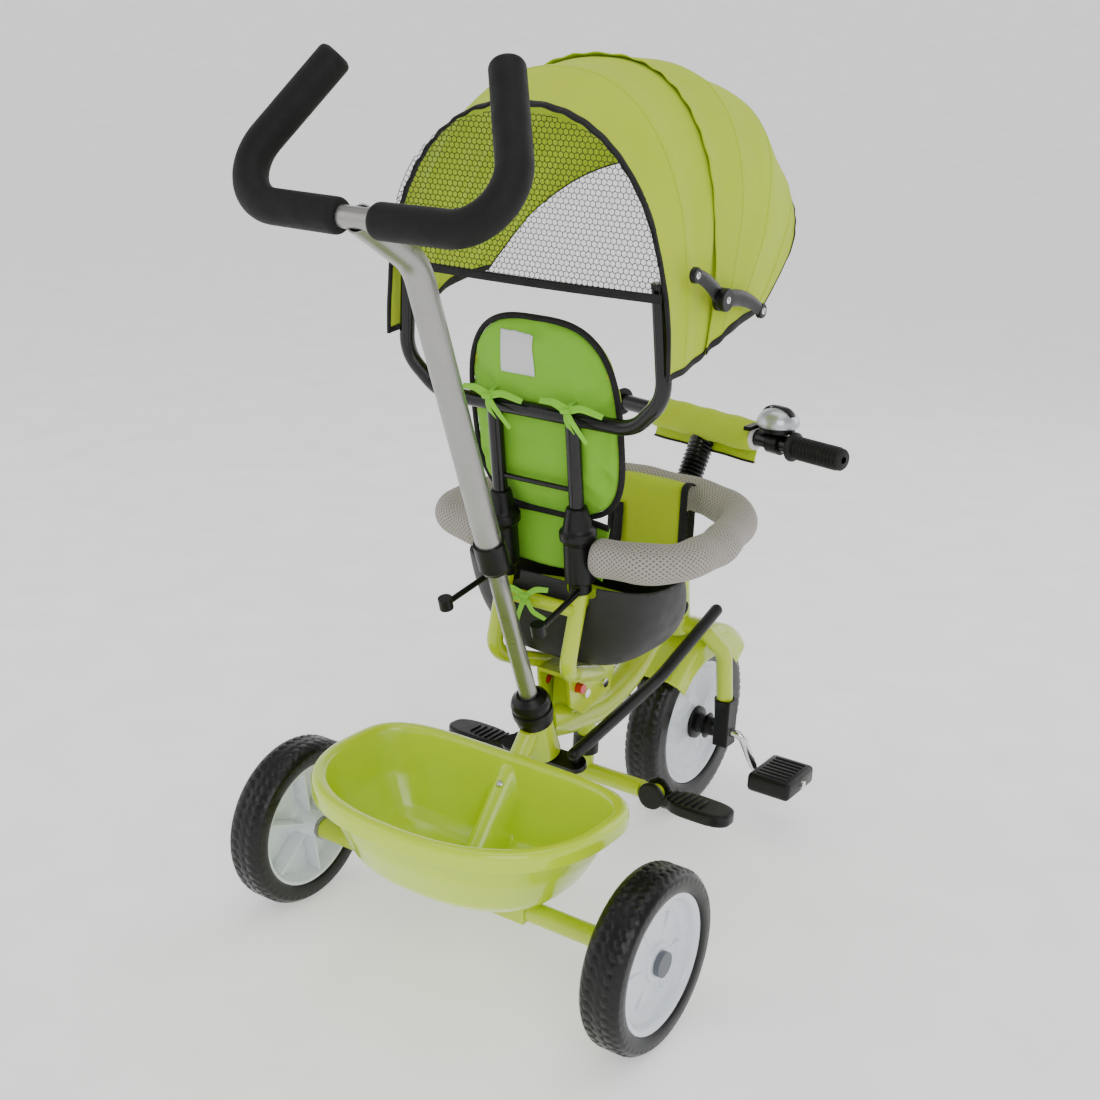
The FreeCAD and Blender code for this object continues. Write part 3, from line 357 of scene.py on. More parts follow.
def moulded(node: str, name: str, voxel: float, rounds: int, levels: int = 0) -> bpy.types.Object:
    """A CAD node's shape with its edges softened as moulding leaves them."""
    piece = copy_node(node, name)
    remesh = piece.modifiers.new("Voxels", "REMESH")
    remesh.mode = "VOXEL"
    remesh.voxel_size = voxel
    relax = piece.modifiers.new("Relax", "SMOOTH")
    relax.factor = 0.6
    relax.iterations = rounds
    if levels:
        smooth = piece.modifiers.new("Smooth", "SUBSURF")
        smooth.levels = smooth.render_levels = levels
    apply_all(piece)
    return shade(piece, 60)


@dataclass(frozen=True)
class Frame:
    """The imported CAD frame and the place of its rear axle."""

    nodes: dict[str, bpy.types.Object]
    axle: float

    def at(self, x: float, y: float, z: float) -> Vector:
        """A point of the frame from millimetres, with y from the rear axle."""
        return Vector((x * MM, y * MM + self.axle, z * MM))


def load_frame() -> Frame:
    """Loads the CAD frame and finds its rear axle."""
    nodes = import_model()["nodes"]
    low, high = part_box("axle_rod")
    return Frame(nodes, (low.y + high.y) / 2)


FRAME = load_frame()
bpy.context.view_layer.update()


def finish(piece: bpy.types.Object, body: str, material: bpy.types.Material,
           replaces: Sequence[str] = ()) -> bpy.types.Object:
    """Dresses a piece, makes it ride on a body and hides the CAD nodes it stands for."""
    if not piece.data.materials:
        piece.data.materials.append(material)
    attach(piece, body)
    if replaces:
        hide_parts(*replaces)
    LOG.info("%s rides on %s, %d faces", piece.name, body, len(piece.data.polygons))
    return piece


# ---------------------------------------------------------------- finishes

class Grain(Enum):
    """What the fine relief of a surface is like."""

    SMOOTH = "smooth"
    SPRAYED = "sprayed"
    MOULDED = "moulded"
    FOAM = "foam"
    DRAWN = "drawn"


class Nodes:
    """A short way to write a material's node tree."""

    def __init__(self, name: str) -> None:
        """Makes an empty material with its surface shader."""
        self.material = bpy.data.materials.new(name)
        self.material.use_nodes = True
        self.tree = self.material.node_tree
        self.shader = self.tree.nodes["Principled BSDF"]
        self.place = self.add("ShaderNodeTexCoord")

    def add(self, kind: str, **values: object) -> bpy.types.Node:
        """Adds a node; a value is an attribute, or a socket's if the name matches one."""
        node = self.tree.nodes.new(kind)
        for name, value in values.items():
            socket = name.replace("_", " ")
            if socket in node.inputs:
                node.inputs[socket].default_value = value
            else:
                setattr(node, name, value)
        return node

    def wire(self, output: bpy.types.NodeSocket, socket: bpy.types.NodeSocket) -> None:
        """Joins an output to an input."""
        self.tree.links.new(output, socket)

    def noise(self, scale: float, detail: float = 3.0, stretch: tuple[float, float, float] = (1, 1, 1),
              source: str = "Object") -> bpy.types.NodeSocket:
        """A noise over the piece, in features per metre."""
        mapping = self.add("ShaderNodeMapping")
        mapping.inputs["Scale"].default_value = stretch
        texture = self.add("ShaderNodeTexNoise", Scale=scale, Detail=detail)
        self.wire(self.place.outputs[source], mapping.inputs["Vector"])
        self.wire(mapping.outputs["Vector"], texture.inputs["Vector"])
        return texture.outputs["Fac"]

    def ramp(self, value: bpy.types.NodeSocket, low: float, high: float, dark: Sequence[float],
             light: Sequence[float]) -> bpy.types.NodeSocket:
        """A colour between two, as a value goes from low to high."""
        ramp = self.add("ShaderNodeValToRGB")
        first, last = ramp.color_ramp.elements
        first.position, last.position = low, high
        first.color, last.color = (*dark, 1.0), (*light, 1.0)
        self.wire(value, ramp.inputs["Fac"])
        return ramp.outputs["Color"]

    def math(self, operation: str, first: bpy.types.NodeSocket | float,
             second: bpy.types.NodeSocket | float = 0.0) -> bpy.types.NodeSocket:
        """One sum of two values."""
        node = self.add("ShaderNodeMath", operation=operation)
        for value, socket in zip((first, second), node.inputs):
            if isinstance(value, (int, float)):
                socket.default_value = value
            else:
                self.wire(value, socket)
        return node.outputs["Value"]

    def bump(self, height: bpy.types.NodeSocket, distance: float, strength: float = 1.0) -> None:
        """Adds relief to the shader, over any that it has."""
        node = self.add("ShaderNodeBump", Strength=strength, Distance=distance)
        self.wire(height, node.inputs["Height"])
        before = self.shader.inputs["Normal"].links
        if before:
            self.wire(before[0].from_socket, node.inputs["Normal"])
        self.wire(node.outputs["Normal"], self.shader.inputs["Normal"])

    def rough(self, value: bpy.types.NodeSocket, low: float, high: float) -> None:
        """Roughness between two values."""
        spread = self.add("ShaderNodeMapRange", To_Min=low, To_Max=high, From_Min=0.3, From_Max=0.7)
        self.wire(value, spread.inputs["Value"])
        self.wire(spread.outputs["Result"], self.shader.inputs["Roughness"])


def tint(colour: Sequence[float], factor: float) -> Colour:
    """A colour made darker or lighter."""
    return tuple(min(1.0, channel * factor) for channel in colour)


@dataclass(frozen=True)
class Hard:
    """A painted, plated or moulded finish."""

    name: str
    colour: Colour
    rough: float
    grain: Grain = Grain.SMOOTH
    metal: float = 0.0
    coat: float = 0.0
    spread: float = 0.06
    subsurface: float = 0.0
    specular: float = 0.5

    def build(self) -> bpy.types.Material:
        """Makes the material."""
        nodes = Nodes(self.name)
        shader = nodes.shader.inputs
        shader["Metallic"].default_value = self.metal
        shader["Coat Weight"].default_value = self.coat
        shader["Coat Roughness"].default_value = 0.08
        shader["Specular IOR Level"].default_value = self.specular
        shader["Subsurface Weight"].default_value = self.subsurface
        shader["Subsurface Radius"].default_value = (0.004, 0.004, 0.002)
        cloud = nodes.noise(9.0, 4.0)
        nodes.wire(nodes.ramp(cloud, 0.3, 0.7, tint(self.colour, 1 - self.spread),
                              tint(self.colour, 1 + self.spread)), shader["Base Color"])
        wear = nodes.noise(55.0, 5.0)
        nodes.rough(wear, max(0.02, self.rough - 0.05), self.rough + 0.07)
        if self.grain is Grain.SPRAYED:
            nodes.bump(nodes.noise(420.0, 2.0), 0.00012, 0.35)
        elif self.grain is Grain.MOULDED:
            nodes.bump(nodes.noise(1500.0, 3.0), 0.00010, 0.55)
            nodes.bump(nodes.noise(60.0, 2.0), 0.0003, 0.25)
        elif self.grain is Grain.FOAM:
            nodes.bump(nodes.noise(1900.0, 4.0), 0.00022, 0.8)
            nodes.bump(nodes.noise(120.0, 2.0), 0.0004, 0.3)
        elif self.grain is Grain.DRAWN:
            nodes.bump(nodes.noise(700.0, 3.0, (1.0, 1.0, 0.03)), 0.00006, 0.6)
            shader["Anisotropic"].default_value = 0.5
        return nodes.material


@dataclass(frozen=True)
class Cloth:
    """A woven fabric: the threads' relief, their shadow in the colour, and soft creases."""

    name: str
    colour: Colour
    thread: float = 0.00075
    crease: float = 0.0012
    sheen: float = 0.06
    on_uv: bool = False

    def build(self) -> bpy.types.Material:
        """Makes the material."""
        nodes = Nodes(self.name)
        shader = nodes.shader.inputs
        source = "UV" if self.on_uv else "Object"
        waves = []
        for direction in ("X", "Y") if self.on_uv else ("X", "Z"):
            wave = nodes.add("ShaderNodeTexWave", Scale=0.314 / self.thread, Distortion=0.6,
                             bands_direction=direction)
            wave.inputs["Detail"].default_value = 1.0
            nodes.wire(nodes.place.outputs[source], wave.inputs["Vector"])
            waves.append(wave.outputs["Fac"])
        weave = nodes.math("MULTIPLY", nodes.math("ADD", *waves), 0.5)
        threads = nodes.ramp(weave, 0.15, 0.85, tint(self.colour, 0.86), tint(self.colour, 1.06))
        cloud = nodes.noise(7.0, 3.0)
        shadow = nodes.ramp(cloud, 0.3, 0.7, (0.90, 0.90, 0.88), (1.0, 1.0, 1.0))
        mix = nodes.add("ShaderNodeMix", data_type="RGBA", blend_type="MULTIPLY")
        mix.inputs["Factor"].default_value = 1.0
        nodes.wire(threads, mix.inputs["A"])
        nodes.wire(shadow, mix.inputs["B"])
        nodes.wire(mix.outputs["Result"], shader["Base Color"])
        nodes.rough(nodes.noise(40.0, 3.0), 0.72, 0.88)
        shader["Sheen Weight"].default_value = self.sheen
        shader["Sheen Roughness"].default_value = 0.45
        nodes.bump(nodes.noise(26.0, 4.0, (1.0, 1.0, 0.55)), self.crease, 0.45)
        nodes.bump(weave, 0.00018, 0.7)
        return nodes.material


@dataclass(frozen=True)
class SpacerMesh:
    """Knitted spacer fabric: rows of small holes over foam, laid out on the piece's UV map; the holes carry
    painted shade, a darkened copy of the mesh grey.
    """

    name: str
    colour: Colour
    # The mesh grey darkened, painted into the holes as shade.
    hole: Colour
    cell: float = 0.0038

    def build(self) -> bpy.types.Material:
        """Makes the material."""
        nodes = Nodes(self.name)
        shader = nodes.shader.inputs
        mapping = nodes.add("ShaderNodeMapping")
        mapping.inputs["Rotation"].default_value = (0.0, 0.0, math.radians(45))
        mapping.inputs["Scale"].default_value = (1 / self.cell,) * 3
        cells = nodes.add("ShaderNodeTexVoronoi", Scale=1.0, Randomness=0.12, voronoi_dimensions="2D")
        nodes.wire(nodes.place.outputs["UV"], mapping.inputs["Vector"])
        nodes.wire(mapping.outputs["Vector"], cells.inputs["Vector"])
        distance = cells.outputs["Distance"]
        # Painted shade: the holes take the darkened grey where the knit is recessed.
        nodes.wire(nodes.ramp(distance, 0.16, 0.36, self.hole, self.colour), shader["Base Color"])
        nodes.rough(nodes.noise(60.0, 3.0), 0.75, 0.9)
        shader["Sheen Weight"].default_value = 0.15
        nodes.bump(nodes.noise(30.0, 3.0), 0.0012, 0.3)
        nodes.bump(distance, 0.0011, 0.9)
        return nodes.material


class Wardrobe:
    """Every finish of the tricycle, made once."""

    LIME = (0.52, 0.68, 0.006)

    def __init__(self) -> None:
        """Makes the materials."""
        self.lime_paint = Hard("Lime powder coat", (0.50, 0.64, 0.008), 0.30, Grain.SPRAYED,
                               coat=0.45).build()
        self.lime_plastic = Hard("Lime polypropylene", (0.56, 0.76, 0.000), 0.20, Grain.SMOOTH, coat=0.5,
                                 spread=0.03, subsurface=0.12).build()
        self.black_paint = Hard("Black enamel", (0.003, 0.003, 0.003), 0.22, Grain.SPRAYED, coat=0.15,
                                specular=0.35).build()
        self.steel = Hard("Satin plated tube", (0.36, 0.355, 0.34), 0.30, Grain.DRAWN, metal=0.9).build()
        self.chrome = Hard("Chrome", (0.72, 0.72, 0.73), 0.10, metal=1.0, spread=0.02).build()
        self.black_plastic = Hard("Black nylon", (0.003, 0.003, 0.003), 0.34, Grain.MOULDED, spread=0.2,
                                  specular=0.3).build()
        self.grip_rubber = Hard("Black grip rubber", (0.003, 0.003, 0.003), 0.5, Grain.MOULDED,
                                specular=0.3).build()
        self.bellows_plastic = Hard("Black bellows", (0.003, 0.003, 0.003), 0.28, Grain.MOULDED,
                                    specular=0.35).build()
        self.shell_plastic = Hard("Charcoal polypropylene", (0.014, 0.013, 0.015), 0.55, Grain.MOULDED,
                                  spread=0.1).build()
        self.white_plastic = Hard("White polypropylene", (0.72, 0.76, 0.82), 0.24, Grain.SMOOTH, coat=0.35,
                                  spread=0.02, subsurface=0.1).build()
        self.cap_plastic = Hard("Slate cap", (0.10, 0.11, 0.13), 0.38, Grain.MOULDED).build()
        self.bell_silver = Hard("Bell silver", (0.52, 0.53, 0.56), 0.28, Grain.SPRAYED, metal=0.75).build()
        self.red_plastic = Hard("Red button", (0.60, 0.010, 0.010), 0.25, coat=0.4).build()
        self.tyre_foam = Hard("Tyre foam", (0.004, 0.004, 0.004), 0.30, Grain.MOULDED, spread=0.2,
                              specular=0.35).build()
        self.grip_foam = Hard("Handle foam", (0.004, 0.004, 0.004), 0.6, Grain.FOAM, spread=0.25,
                              specular=0.25).build()
        self.white_foam = Hard("Pad foam", (0.70, 0.70, 0.68), 0.8, Grain.FOAM).build()
        self.lime_cloth = Cloth("Lime polyester", self.LIME).build()
        self.canopy_cloth = Cloth("Lime canopy polyester", self.LIME, on_uv=True, crease=0.0022).build()
        self.green_cloth = Cloth("Green lining", (0.22, 0.56, 0.022), crease=0.0018).build()
        self.ribbon_cloth = Cloth("Green ribbon", (0.24, 0.64, 0.03), on_uv=True).build()
        self.binding = Cloth("Black binding tape", (0.003, 0.003, 0.003), 0.0009, 0.0006, 0.03).build()
        self.label_cloth = Cloth("White label satin", (0.80, 0.80, 0.82), 0.0004, 0.0006, on_uv=True).build()
        self.net = Hard("Black net thread", (0.004, 0.004, 0.004), 0.6, Grain.SMOOTH).build()
        # The third colour is the mesh grey darkened, painted shade for the holes.
        self.spacer = SpacerMesh("Grey spacer mesh", (0.37, 0.335, 0.30), (0.12, 0.105, 0.09)).build()


# ---------------------------------------------------------------- wheels

@dataclass
class Wheel:
    """One wheel: a foam tyre with a block tread, and its moulded rim."""

    name: str
    node: str
    body: str
    centre: Vector
    radius: float
    rim_radius: float
    side: int = 1
    half_width: float = 24 * MM
    relief: float = 1.5 * MM
    block_pitch: float = 12.5 * MM

    def tyre_section(self) -> list[Vector]:
        """The tyre's outline as points of (along the axle, radius), evenly spaced."""
        crown, seat = self.radius - self.relief, self.rim_radius
        half = self.half_width
        corners = [(-half + 2 * MM, seat, 1.5 * MM), (half - 2 * MM, seat, 1.5 * MM),
                   (half, seat + 6 * MM, 4 * MM),
                   (half, crown - 8 * MM, 6 * MM), (half - 8 * MM, crown - 0.6 * MM, 7 * MM),
                   (-half + 8 * MM, crown - 0.6 * MM, 7 * MM), (-half, crown - 8 * MM, 6 * MM),
                   (-half, seat + 6 * MM, 4 * MM)]
        outline = [Vector((x, y, 0)) for x, y in rounded_profile(corners, 8)]
        return evenly(outline + outline[:1], 2.2 * MM)

    def block_height(self, around: float, across: float) -> float:
        """The tread's relief at a spot, from 0 in a groove to 1 on a six-sided block."""
        count = round(FULL_TURN * self.radius / self.block_pitch)
        pitch = FULL_TURN * self.radius / count
        row_gap = pitch * 0.866
        row = round(across / row_gap)
        nearest = []
        for line in (row - 1, row, row + 1):
            shift = 0.5 * pitch * (line % 2)
            place = round((around - shift) / pitch)
            for step in (place - 1, place, place + 1):
                nearest.append(math.hypot(around - shift - step * pitch, across - line * row_gap))
        first, second = sorted(nearest)[:2]
        share = min(1.0, (second - first) / (2.6 * MM))
        return share * share * (3 - 2 * share)

    def tyre(self, wardrobe: Wardrobe) -> None:
        """Models the tyre."""
        section = self.tyre_section()
        rows = len(section) - 1
        columns = round(FULL_TURN * self.radius / (2.5 * MM))
        middle = Vector((0, (self.radius + self.rim_radius) / 2, 0))
        across, reach = [], 0.0
        for first, second in zip(section, section[1:] + section[1:2]):
            across.append(reach)
            reach += (second - first).length
        top = max(range(rows), key=lambda i: section[i].y - abs(section[i].x) * 0.2)
        tread_foot = self.radius - 11 * MM

        def place(u: float, v: float) -> Vector:
            """The place of a point from its two shares."""
            index = round(v * rows) % rows
            spot = section[index].copy()
            if spot.y > tread_foot:
                fade = min(1.0, (spot.y - tread_foot) / (3 * MM))
                height = self.block_height(u * FULL_TURN * self.radius, across[index] - across[top])
                away = (spot - middle)
                away = Vector((0, 1, 0)) if abs(spot.x) < self.half_width - 6 * MM else away.normalized()
                spot += away * (self.relief * height * fade)
            angle = FULL_TURN * u
            side = max(-self.half_width, min(self.half_width, spot.x))
            return self.centre + Vector((side, spot.y * math.sin(angle), spot.y * math.cos(angle)))

        piece = surface(f"{self.name}_tread_tyre", columns, rows, place, angle=60)
        finish(piece, self.body, wardrobe.tyre_foam, [f"{self.node}tyre{self.suffix()}"])

    def suffix(self) -> str:
        """The end of the CAD nodes' names, which the rear wheels carry."""
        return "" if self.name == "front" else "_" + self.name.split("_")[1]

    def rim(self, wardrobe: Wardrobe) -> None:
        """Models the rim."""
        piece = self.faceted_rim() if self.name == "front" else self.ribbed_rim()
        finish(piece, self.body, wardrobe.white_plastic, [f"{self.node}rim{self.suffix()}"])

    def faceted_rim(self) -> bpy.types.Object:
        """The front rim: two dished faces folded into a star of five flat facets."""
        edge, hub = self.rim_radius, 23 * MM
        corners = [(17 * MM, 6 * MM, 0), (17 * MM, hub, 1 * MM), (11 * MM, edge - 15 * MM, 3 * MM),
                   (18.5 * MM, edge - 6 * MM, 2 * MM), (20 * MM, edge - 0.3 * MM, 0.8 * MM),
                   (-20 * MM, edge - 0.3 * MM, 0.8 * MM), (-18.5 * MM, edge - 6 * MM, 2 * MM),
                   (-11 * MM, edge - 15 * MM, 3 * MM), (-17 * MM, hub, 1 * MM), (-17 * MM, 6 * MM, 0)]
        outline = [Vector((x, y, 0)) for x, y in rounded_profile(corners, 5)]
        section = evenly(outline + outline[:1], 2.4 * MM)
        rows, facets, depth = len(section) - 1, 5, 7 * MM

        def place(u: float, v: float) -> Vector:
            """The place of a point from its two shares."""
            spot = section[round(v * rows) % rows]
            share = (spot.y - hub) / (edge - 13 * MM - hub)
            fold = 0.0
            if 0 < share < 1 and abs(spot.x) > 4 * MM:
                wave = abs(2 * ((u * facets) % 1.0) - 1)
                fold = -depth * (1 - wave) * min(1.0, 2.5 * (1 - share)) * min(1.0, 3 * share)
            angle = FULL_TURN * u
            along = spot.x + math.copysign(fold, spot.x)
            return self.centre + Vector((along, spot.y * math.sin(angle), spot.y * math.cos(angle)))

        return surface("front_faceted_rim", 160, rows, place, angle=24)

    def ribbed_rim(self) -> bpy.types.Object:
        """A rear rim: a dish outside, and a long hub with six ribs inside."""
        edge = self.rim_radius
        outer = self.side
        corners = [(-34, 5.05, 0), (15, 5.05, 0), (15, 20, 2), (9, 22.5, 3), (5, edge / MM - 17, 6),
                   (9, edge / MM - 10, 4),
                   (17, edge / MM - 8, 2), (20.5, edge / MM - 5, 2), (20.5, edge / MM - 0.3, 0.8),
                   (-20, edge / MM - 0.3, 0.8), (-20, edge / MM - 4, 1.5), (1, edge / MM - 10, 4),
                   (1, 24, 4), (-6, 18, 3), (-34, 14, 1.5)]
        profile = [(x * MM, y * MM) for x, y in rounded_profile(corners, 4)]
        dish = turned("dish", profile, self.centre, Vector((outer, 0, 0)), 96)
        pieces = [dish]
        for number in range(6):
            angle = FULL_TURN * number / 6 + 0.2
            spoke = Vector((0, math.sin(angle), math.cos(angle)))
            rib = block(f"rib{number}", Vector((0, 0, 0)), Vector((20 * MM, 2.6 * MM, edge - 22 * MM)),
                        0.8 * MM, 2)
            turn = Matrix.Rotation(-angle, 4, "X")
            middle = self.centre + spoke * (edge / 2 + 4 * MM) - Vector((outer * 9 * MM, 0, 0))
            rib.data.transform(Matrix.Translation(middle) @ turn)
            pieces.append(rib)
        for number in range(6):
            angle = FULL_TURN * number / 6 + 0.5
            spoke = Vector((0, math.sin(angle), math.cos(angle)))
            rib = block(f"face_rib{number}", Vector((0, 0, 0)), Vector((5 * MM, 2.4 * MM, 30 * MM)),
                        0.8 * MM, 2)
            middle = self.centre + spoke * (38 * MM) + Vector((outer * 6.5 * MM, 0, 0))
            rib.data.transform(Matrix.Translation(middle) @ Matrix.Rotation(-angle, 4, "X"))
            pieces.append(rib)
        return join(f"{self.name}_ribbed_rim", pieces)


def build_wheels(wardrobe: Wardrobe) -> None:
    """Builds the three wheels."""
    wheels = [Wheel("rear_left", "rear_", "rear_wheel_left", FRAME.at(243, 0, 101.5), 101.5 * MM, 77.5 * MM,
                    1),
              Wheel("rear_right", "rear_", "rear_wheel_right", FRAME.at(-243, 0, 101.5), 101.5 * MM,
                    77.5 * MM, -1),
              Wheel("front", "front_", "front_wheel", FRAME.at(0, -506, 126.5), 126.5 * MM, 87.5 * MM)]
    for wheel in wheels:
        wheel.tyre(wardrobe)
        wheel.rim(wardrobe)


# ---------------------------------------------------------------- basket

@dataclass
class Basket:
    """The moulded basket with its rolled rim and the sleeve round the frame's stay."""

    half_width: float = 166.0
    back: float = 123.0
    front: float = 94.0
    middle: float = -10.0
    rim_height: float = 225.0
    floor_height: float = 116.0
    wall: float = 3.0
    lip: float = 12.0
    skirt: float = 20.0
    sleeve: float = 13.4
    steps: tuple = ((0.0, 0.60, 0.52), (0.10, 0.70, 0.64), (0.28, 0.80, 0.78), (0.62, 0.92, 0.91),
                    (1.0, 1.0, 1.0))
    columns: int = 216

    def outline(self, angle: float, grow: float, wide: float, deep: float) -> tuple[float, float]:
        """The D shape: squarer and a little hollow in front, round behind."""
        cosine, sine = math.cos(angle), math.sin(angle)
        x = (self.half_width * wide + grow) * math.copysign(abs(cosine) ** (2 / 2.4), cosine)
        if sine > 0:
            y = ((self.back - self.middle) * deep + grow) * sine ** (2 / 2.2)
        else:
            y = -((self.front + self.middle) * deep + grow) * (-sine) ** (2 / 4.2) + 8 * deep * (-sine) ** 6
        return x, self.middle + y

    def share_at(self, rise: float) -> tuple[float, float]:
        """How wide and deep the bowl is at a share of its height."""
        for (low, *first), (high, *second) in zip(self.steps, self.steps[1:]):
            if rise <= high:
                share = (rise - low) / (high - low)
                return tuple(a + (b - a) * share for a, b in zip(first, second))
        return 1.0, 1.0

    def rows(self) -> list[tuple[float, float, float, float]]:
        """The sheet's rows, from the middle of the floor to the skirt's edge: grow, height, wide, deep."""
        wide, deep = self.share_at(0.0)
        result = [(0.0, self.floor_height, wide * s / 14, deep * s / 14) for s in range(14)]
        depth = self.rim_height - self.floor_height
        for number in range(27):
            rise = number / 26
            result.append((0.0, self.floor_height + (depth - 4) * rise ** 1.1, *self.share_at(rise ** 0.85)))
        top = self.rim_height
        result += [(0.8, top - 2, 1, 1), (2.5, top - 0.5, 1, 1), (5.5, top, 1, 1), (9.0, top - 0.6, 1, 1),
                   (11.2, top - 2.4, 1, 1), (12, top - 5.5, 1, 1)]
        result += [(self.lip, top - 5.5 - (self.skirt - 5.5) * step / 5, 1, 1) for step in range(1, 6)]
        return result

    def build(self, wardrobe: Wardrobe) -> None:
        """Models the basket and its screw."""
        dense = [Vector((*self.outline(FULL_TURN * k / 2000, 0, 1, 1), k / 2000)) for k in range(2001)]
        flat = [Vector((p.x, p.y, 0)) for p in dense]
        reach = [0.0]
        for first, second in zip(flat, flat[1:]):
            reach.append(reach[-1] + (second - first).length)
        shares, index = [], 0
        for number in range(self.columns + 1):
            while index < 2000 and reach[index] < reach[-1] * number / self.columns:
                index += 1
            shares.append(dense[index].z)
        rows = self.rows()
        top, foot = Vector((0, -124, 242)), Vector((0, -8, 101.5))
        along = (foot - top).normalized()
        inward = Vector((0, -along.z, along.y))

        def place(u: float, v: float) -> Vector:
            """The place of a point from its two shares."""
            grow, height, wide, deep = rows[round(v * (len(rows) - 1))]
            x, y = self.outline(FULL_TURN * shares[round(u * self.columns)], grow, wide, deep)
            spot = Vector((x, y, height))
            if grow <= 0 and abs(x) < self.sleeve + 3:
                level = (spot - top).dot(inward)
                reach_x = min(abs(x) / self.sleeve, 1.0)
                wanted = self.sleeve * math.sqrt(max(0.0, 1 - reach_x * reach_x))
                if level < wanted and height < self.rim_height - 9:
                    spot += inward * min(wanted - level, 40.0)
            return FRAME.at(*spot)

        bowl = surface("rear_basket_bowl", self.columns, len(rows) - 1, place, outward=False)
        take(bowl)
        bpy.ops.object.mode_set(mode="EDIT")
        bpy.ops.mesh.select_all(action="SELECT")
        bpy.ops.mesh.normals_make_consistent(inside=False)
        bpy.ops.object.mode_set(mode="OBJECT")
        lowest = min(bowl.data.polygons, key=lambda face: face.center.z)
        if lowest.normal.z > 0:
            bowl.data.flip_normals()
        thicken(bowl, self.wall * MM * 0.9, -1.0, 1)
        shade(bowl, 60)
        finish(bowl, "frame", wardrobe.lime_plastic, ["rear_basket"])
        screw = screw_head("basket_screw", FRAME.at(0, -68, 198), Vector((0, 0.72, 0.6)), 4.5 * MM)
        finish(screw, "frame", wardrobe.chrome)


def screw_head(name: str, spot: Vector, outward: Vector, radius: float) -> bpy.types.Object:
    """A domed screw head with a cross recess, on a surface and facing outward."""
    axis = outward.normalized()
    first = axis.orthogonal().normalized()
    second = axis.cross(first)
    height, skirt, seat = radius * 0.55, 0.2, -0.5 * MM

    def place(u: float, v: float) -> Vector:
        """The place of a point from its two shares."""
        angle = FULL_TURN * u
        reach = min(v / 0.8, 1.0) if v < 0.9 else (1.0 - v) / 0.1
        x, y = reach * math.cos(angle), reach * math.sin(angle)
        rise = height * (1 - (1 - skirt) * reach ** 3)
        arms = max(abs(x), abs(y)) < 0.62 and min(abs(x), abs(y)) < 0.14
        if v > 0.8 + 0.001:
            rise = seat
        elif arms:
            rise -= 0.34 * radius
        return spot + (first * x + second * y) * radius + axis * rise

    return surface(name, 48, 30, place, angle=40)


# ---------------------------------------------------------------- seat unit

def inflate(piece: bpy.types.Object, limit: float, pressure: float = 4.0, frames: int = 20) -> None:
    """Swells a closed shape as cloth under pressure, moving no point further than a limit."""
    rest = [vertex.co.copy() for vertex in piece.data.vertices]
    cloth = piece.modifiers.new("Cloth", "CLOTH")
    settings = cloth.settings
    settings.quality = 6
    settings.use_pressure = True
    settings.uniform_pressure_force = pressure
    settings.effector_weights.gravity = 0.0
    settings.tension_stiffness = settings.compression_stiffness = 14.0
    cloth.collision_settings.use_collision = False
    scene = bpy.context.scene
    for frame in range(1, frames + 1):
        scene.frame_set(frame)
    shown = piece.evaluated_get(bpy.context.evaluated_depsgraph_get())
    swollen = [vertex.co.copy() for vertex in shown.data.vertices]
    piece.modifiers.remove(cloth)
    for vertex, start, end in zip(piece.data.vertices, rest, swollen):
        move = end - start
        if move.length > limit:
            move *= limit / move.length
        vertex.co = start + move
    scene.frame_set(1)


def pad_from(node: str, name: str, voxel: float, limit: float, shrink: float) -> bpy.types.Object:
    """A stuffed pad in the space of a CAD node: remeshed, swelled by simulation and subdivided."""
    piece = copy_node(node, name)
    low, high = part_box(node)
    middle = (low + high) / 2
    for vertex in piece.data.vertices:
        away = vertex.co - middle
        vertex.co -= away.normalized() * min(shrink, away.length * 0.3)
    remesh = piece.modifiers.new("Voxels", "REMESH")
    remesh.mode = "VOXEL"
    remesh.voxel_size = voxel
    relax = piece.modifiers.new("Relax", "SMOOTH")
    relax.iterations = 3
    apply_all(piece)
    inflate(piece, limit)
    smooth = piece.modifiers.new("Smooth", "SUBSURF")
    smooth.levels = smooth.render_levels = 1
    apply_all(piece)
    return shade(piece, 80)


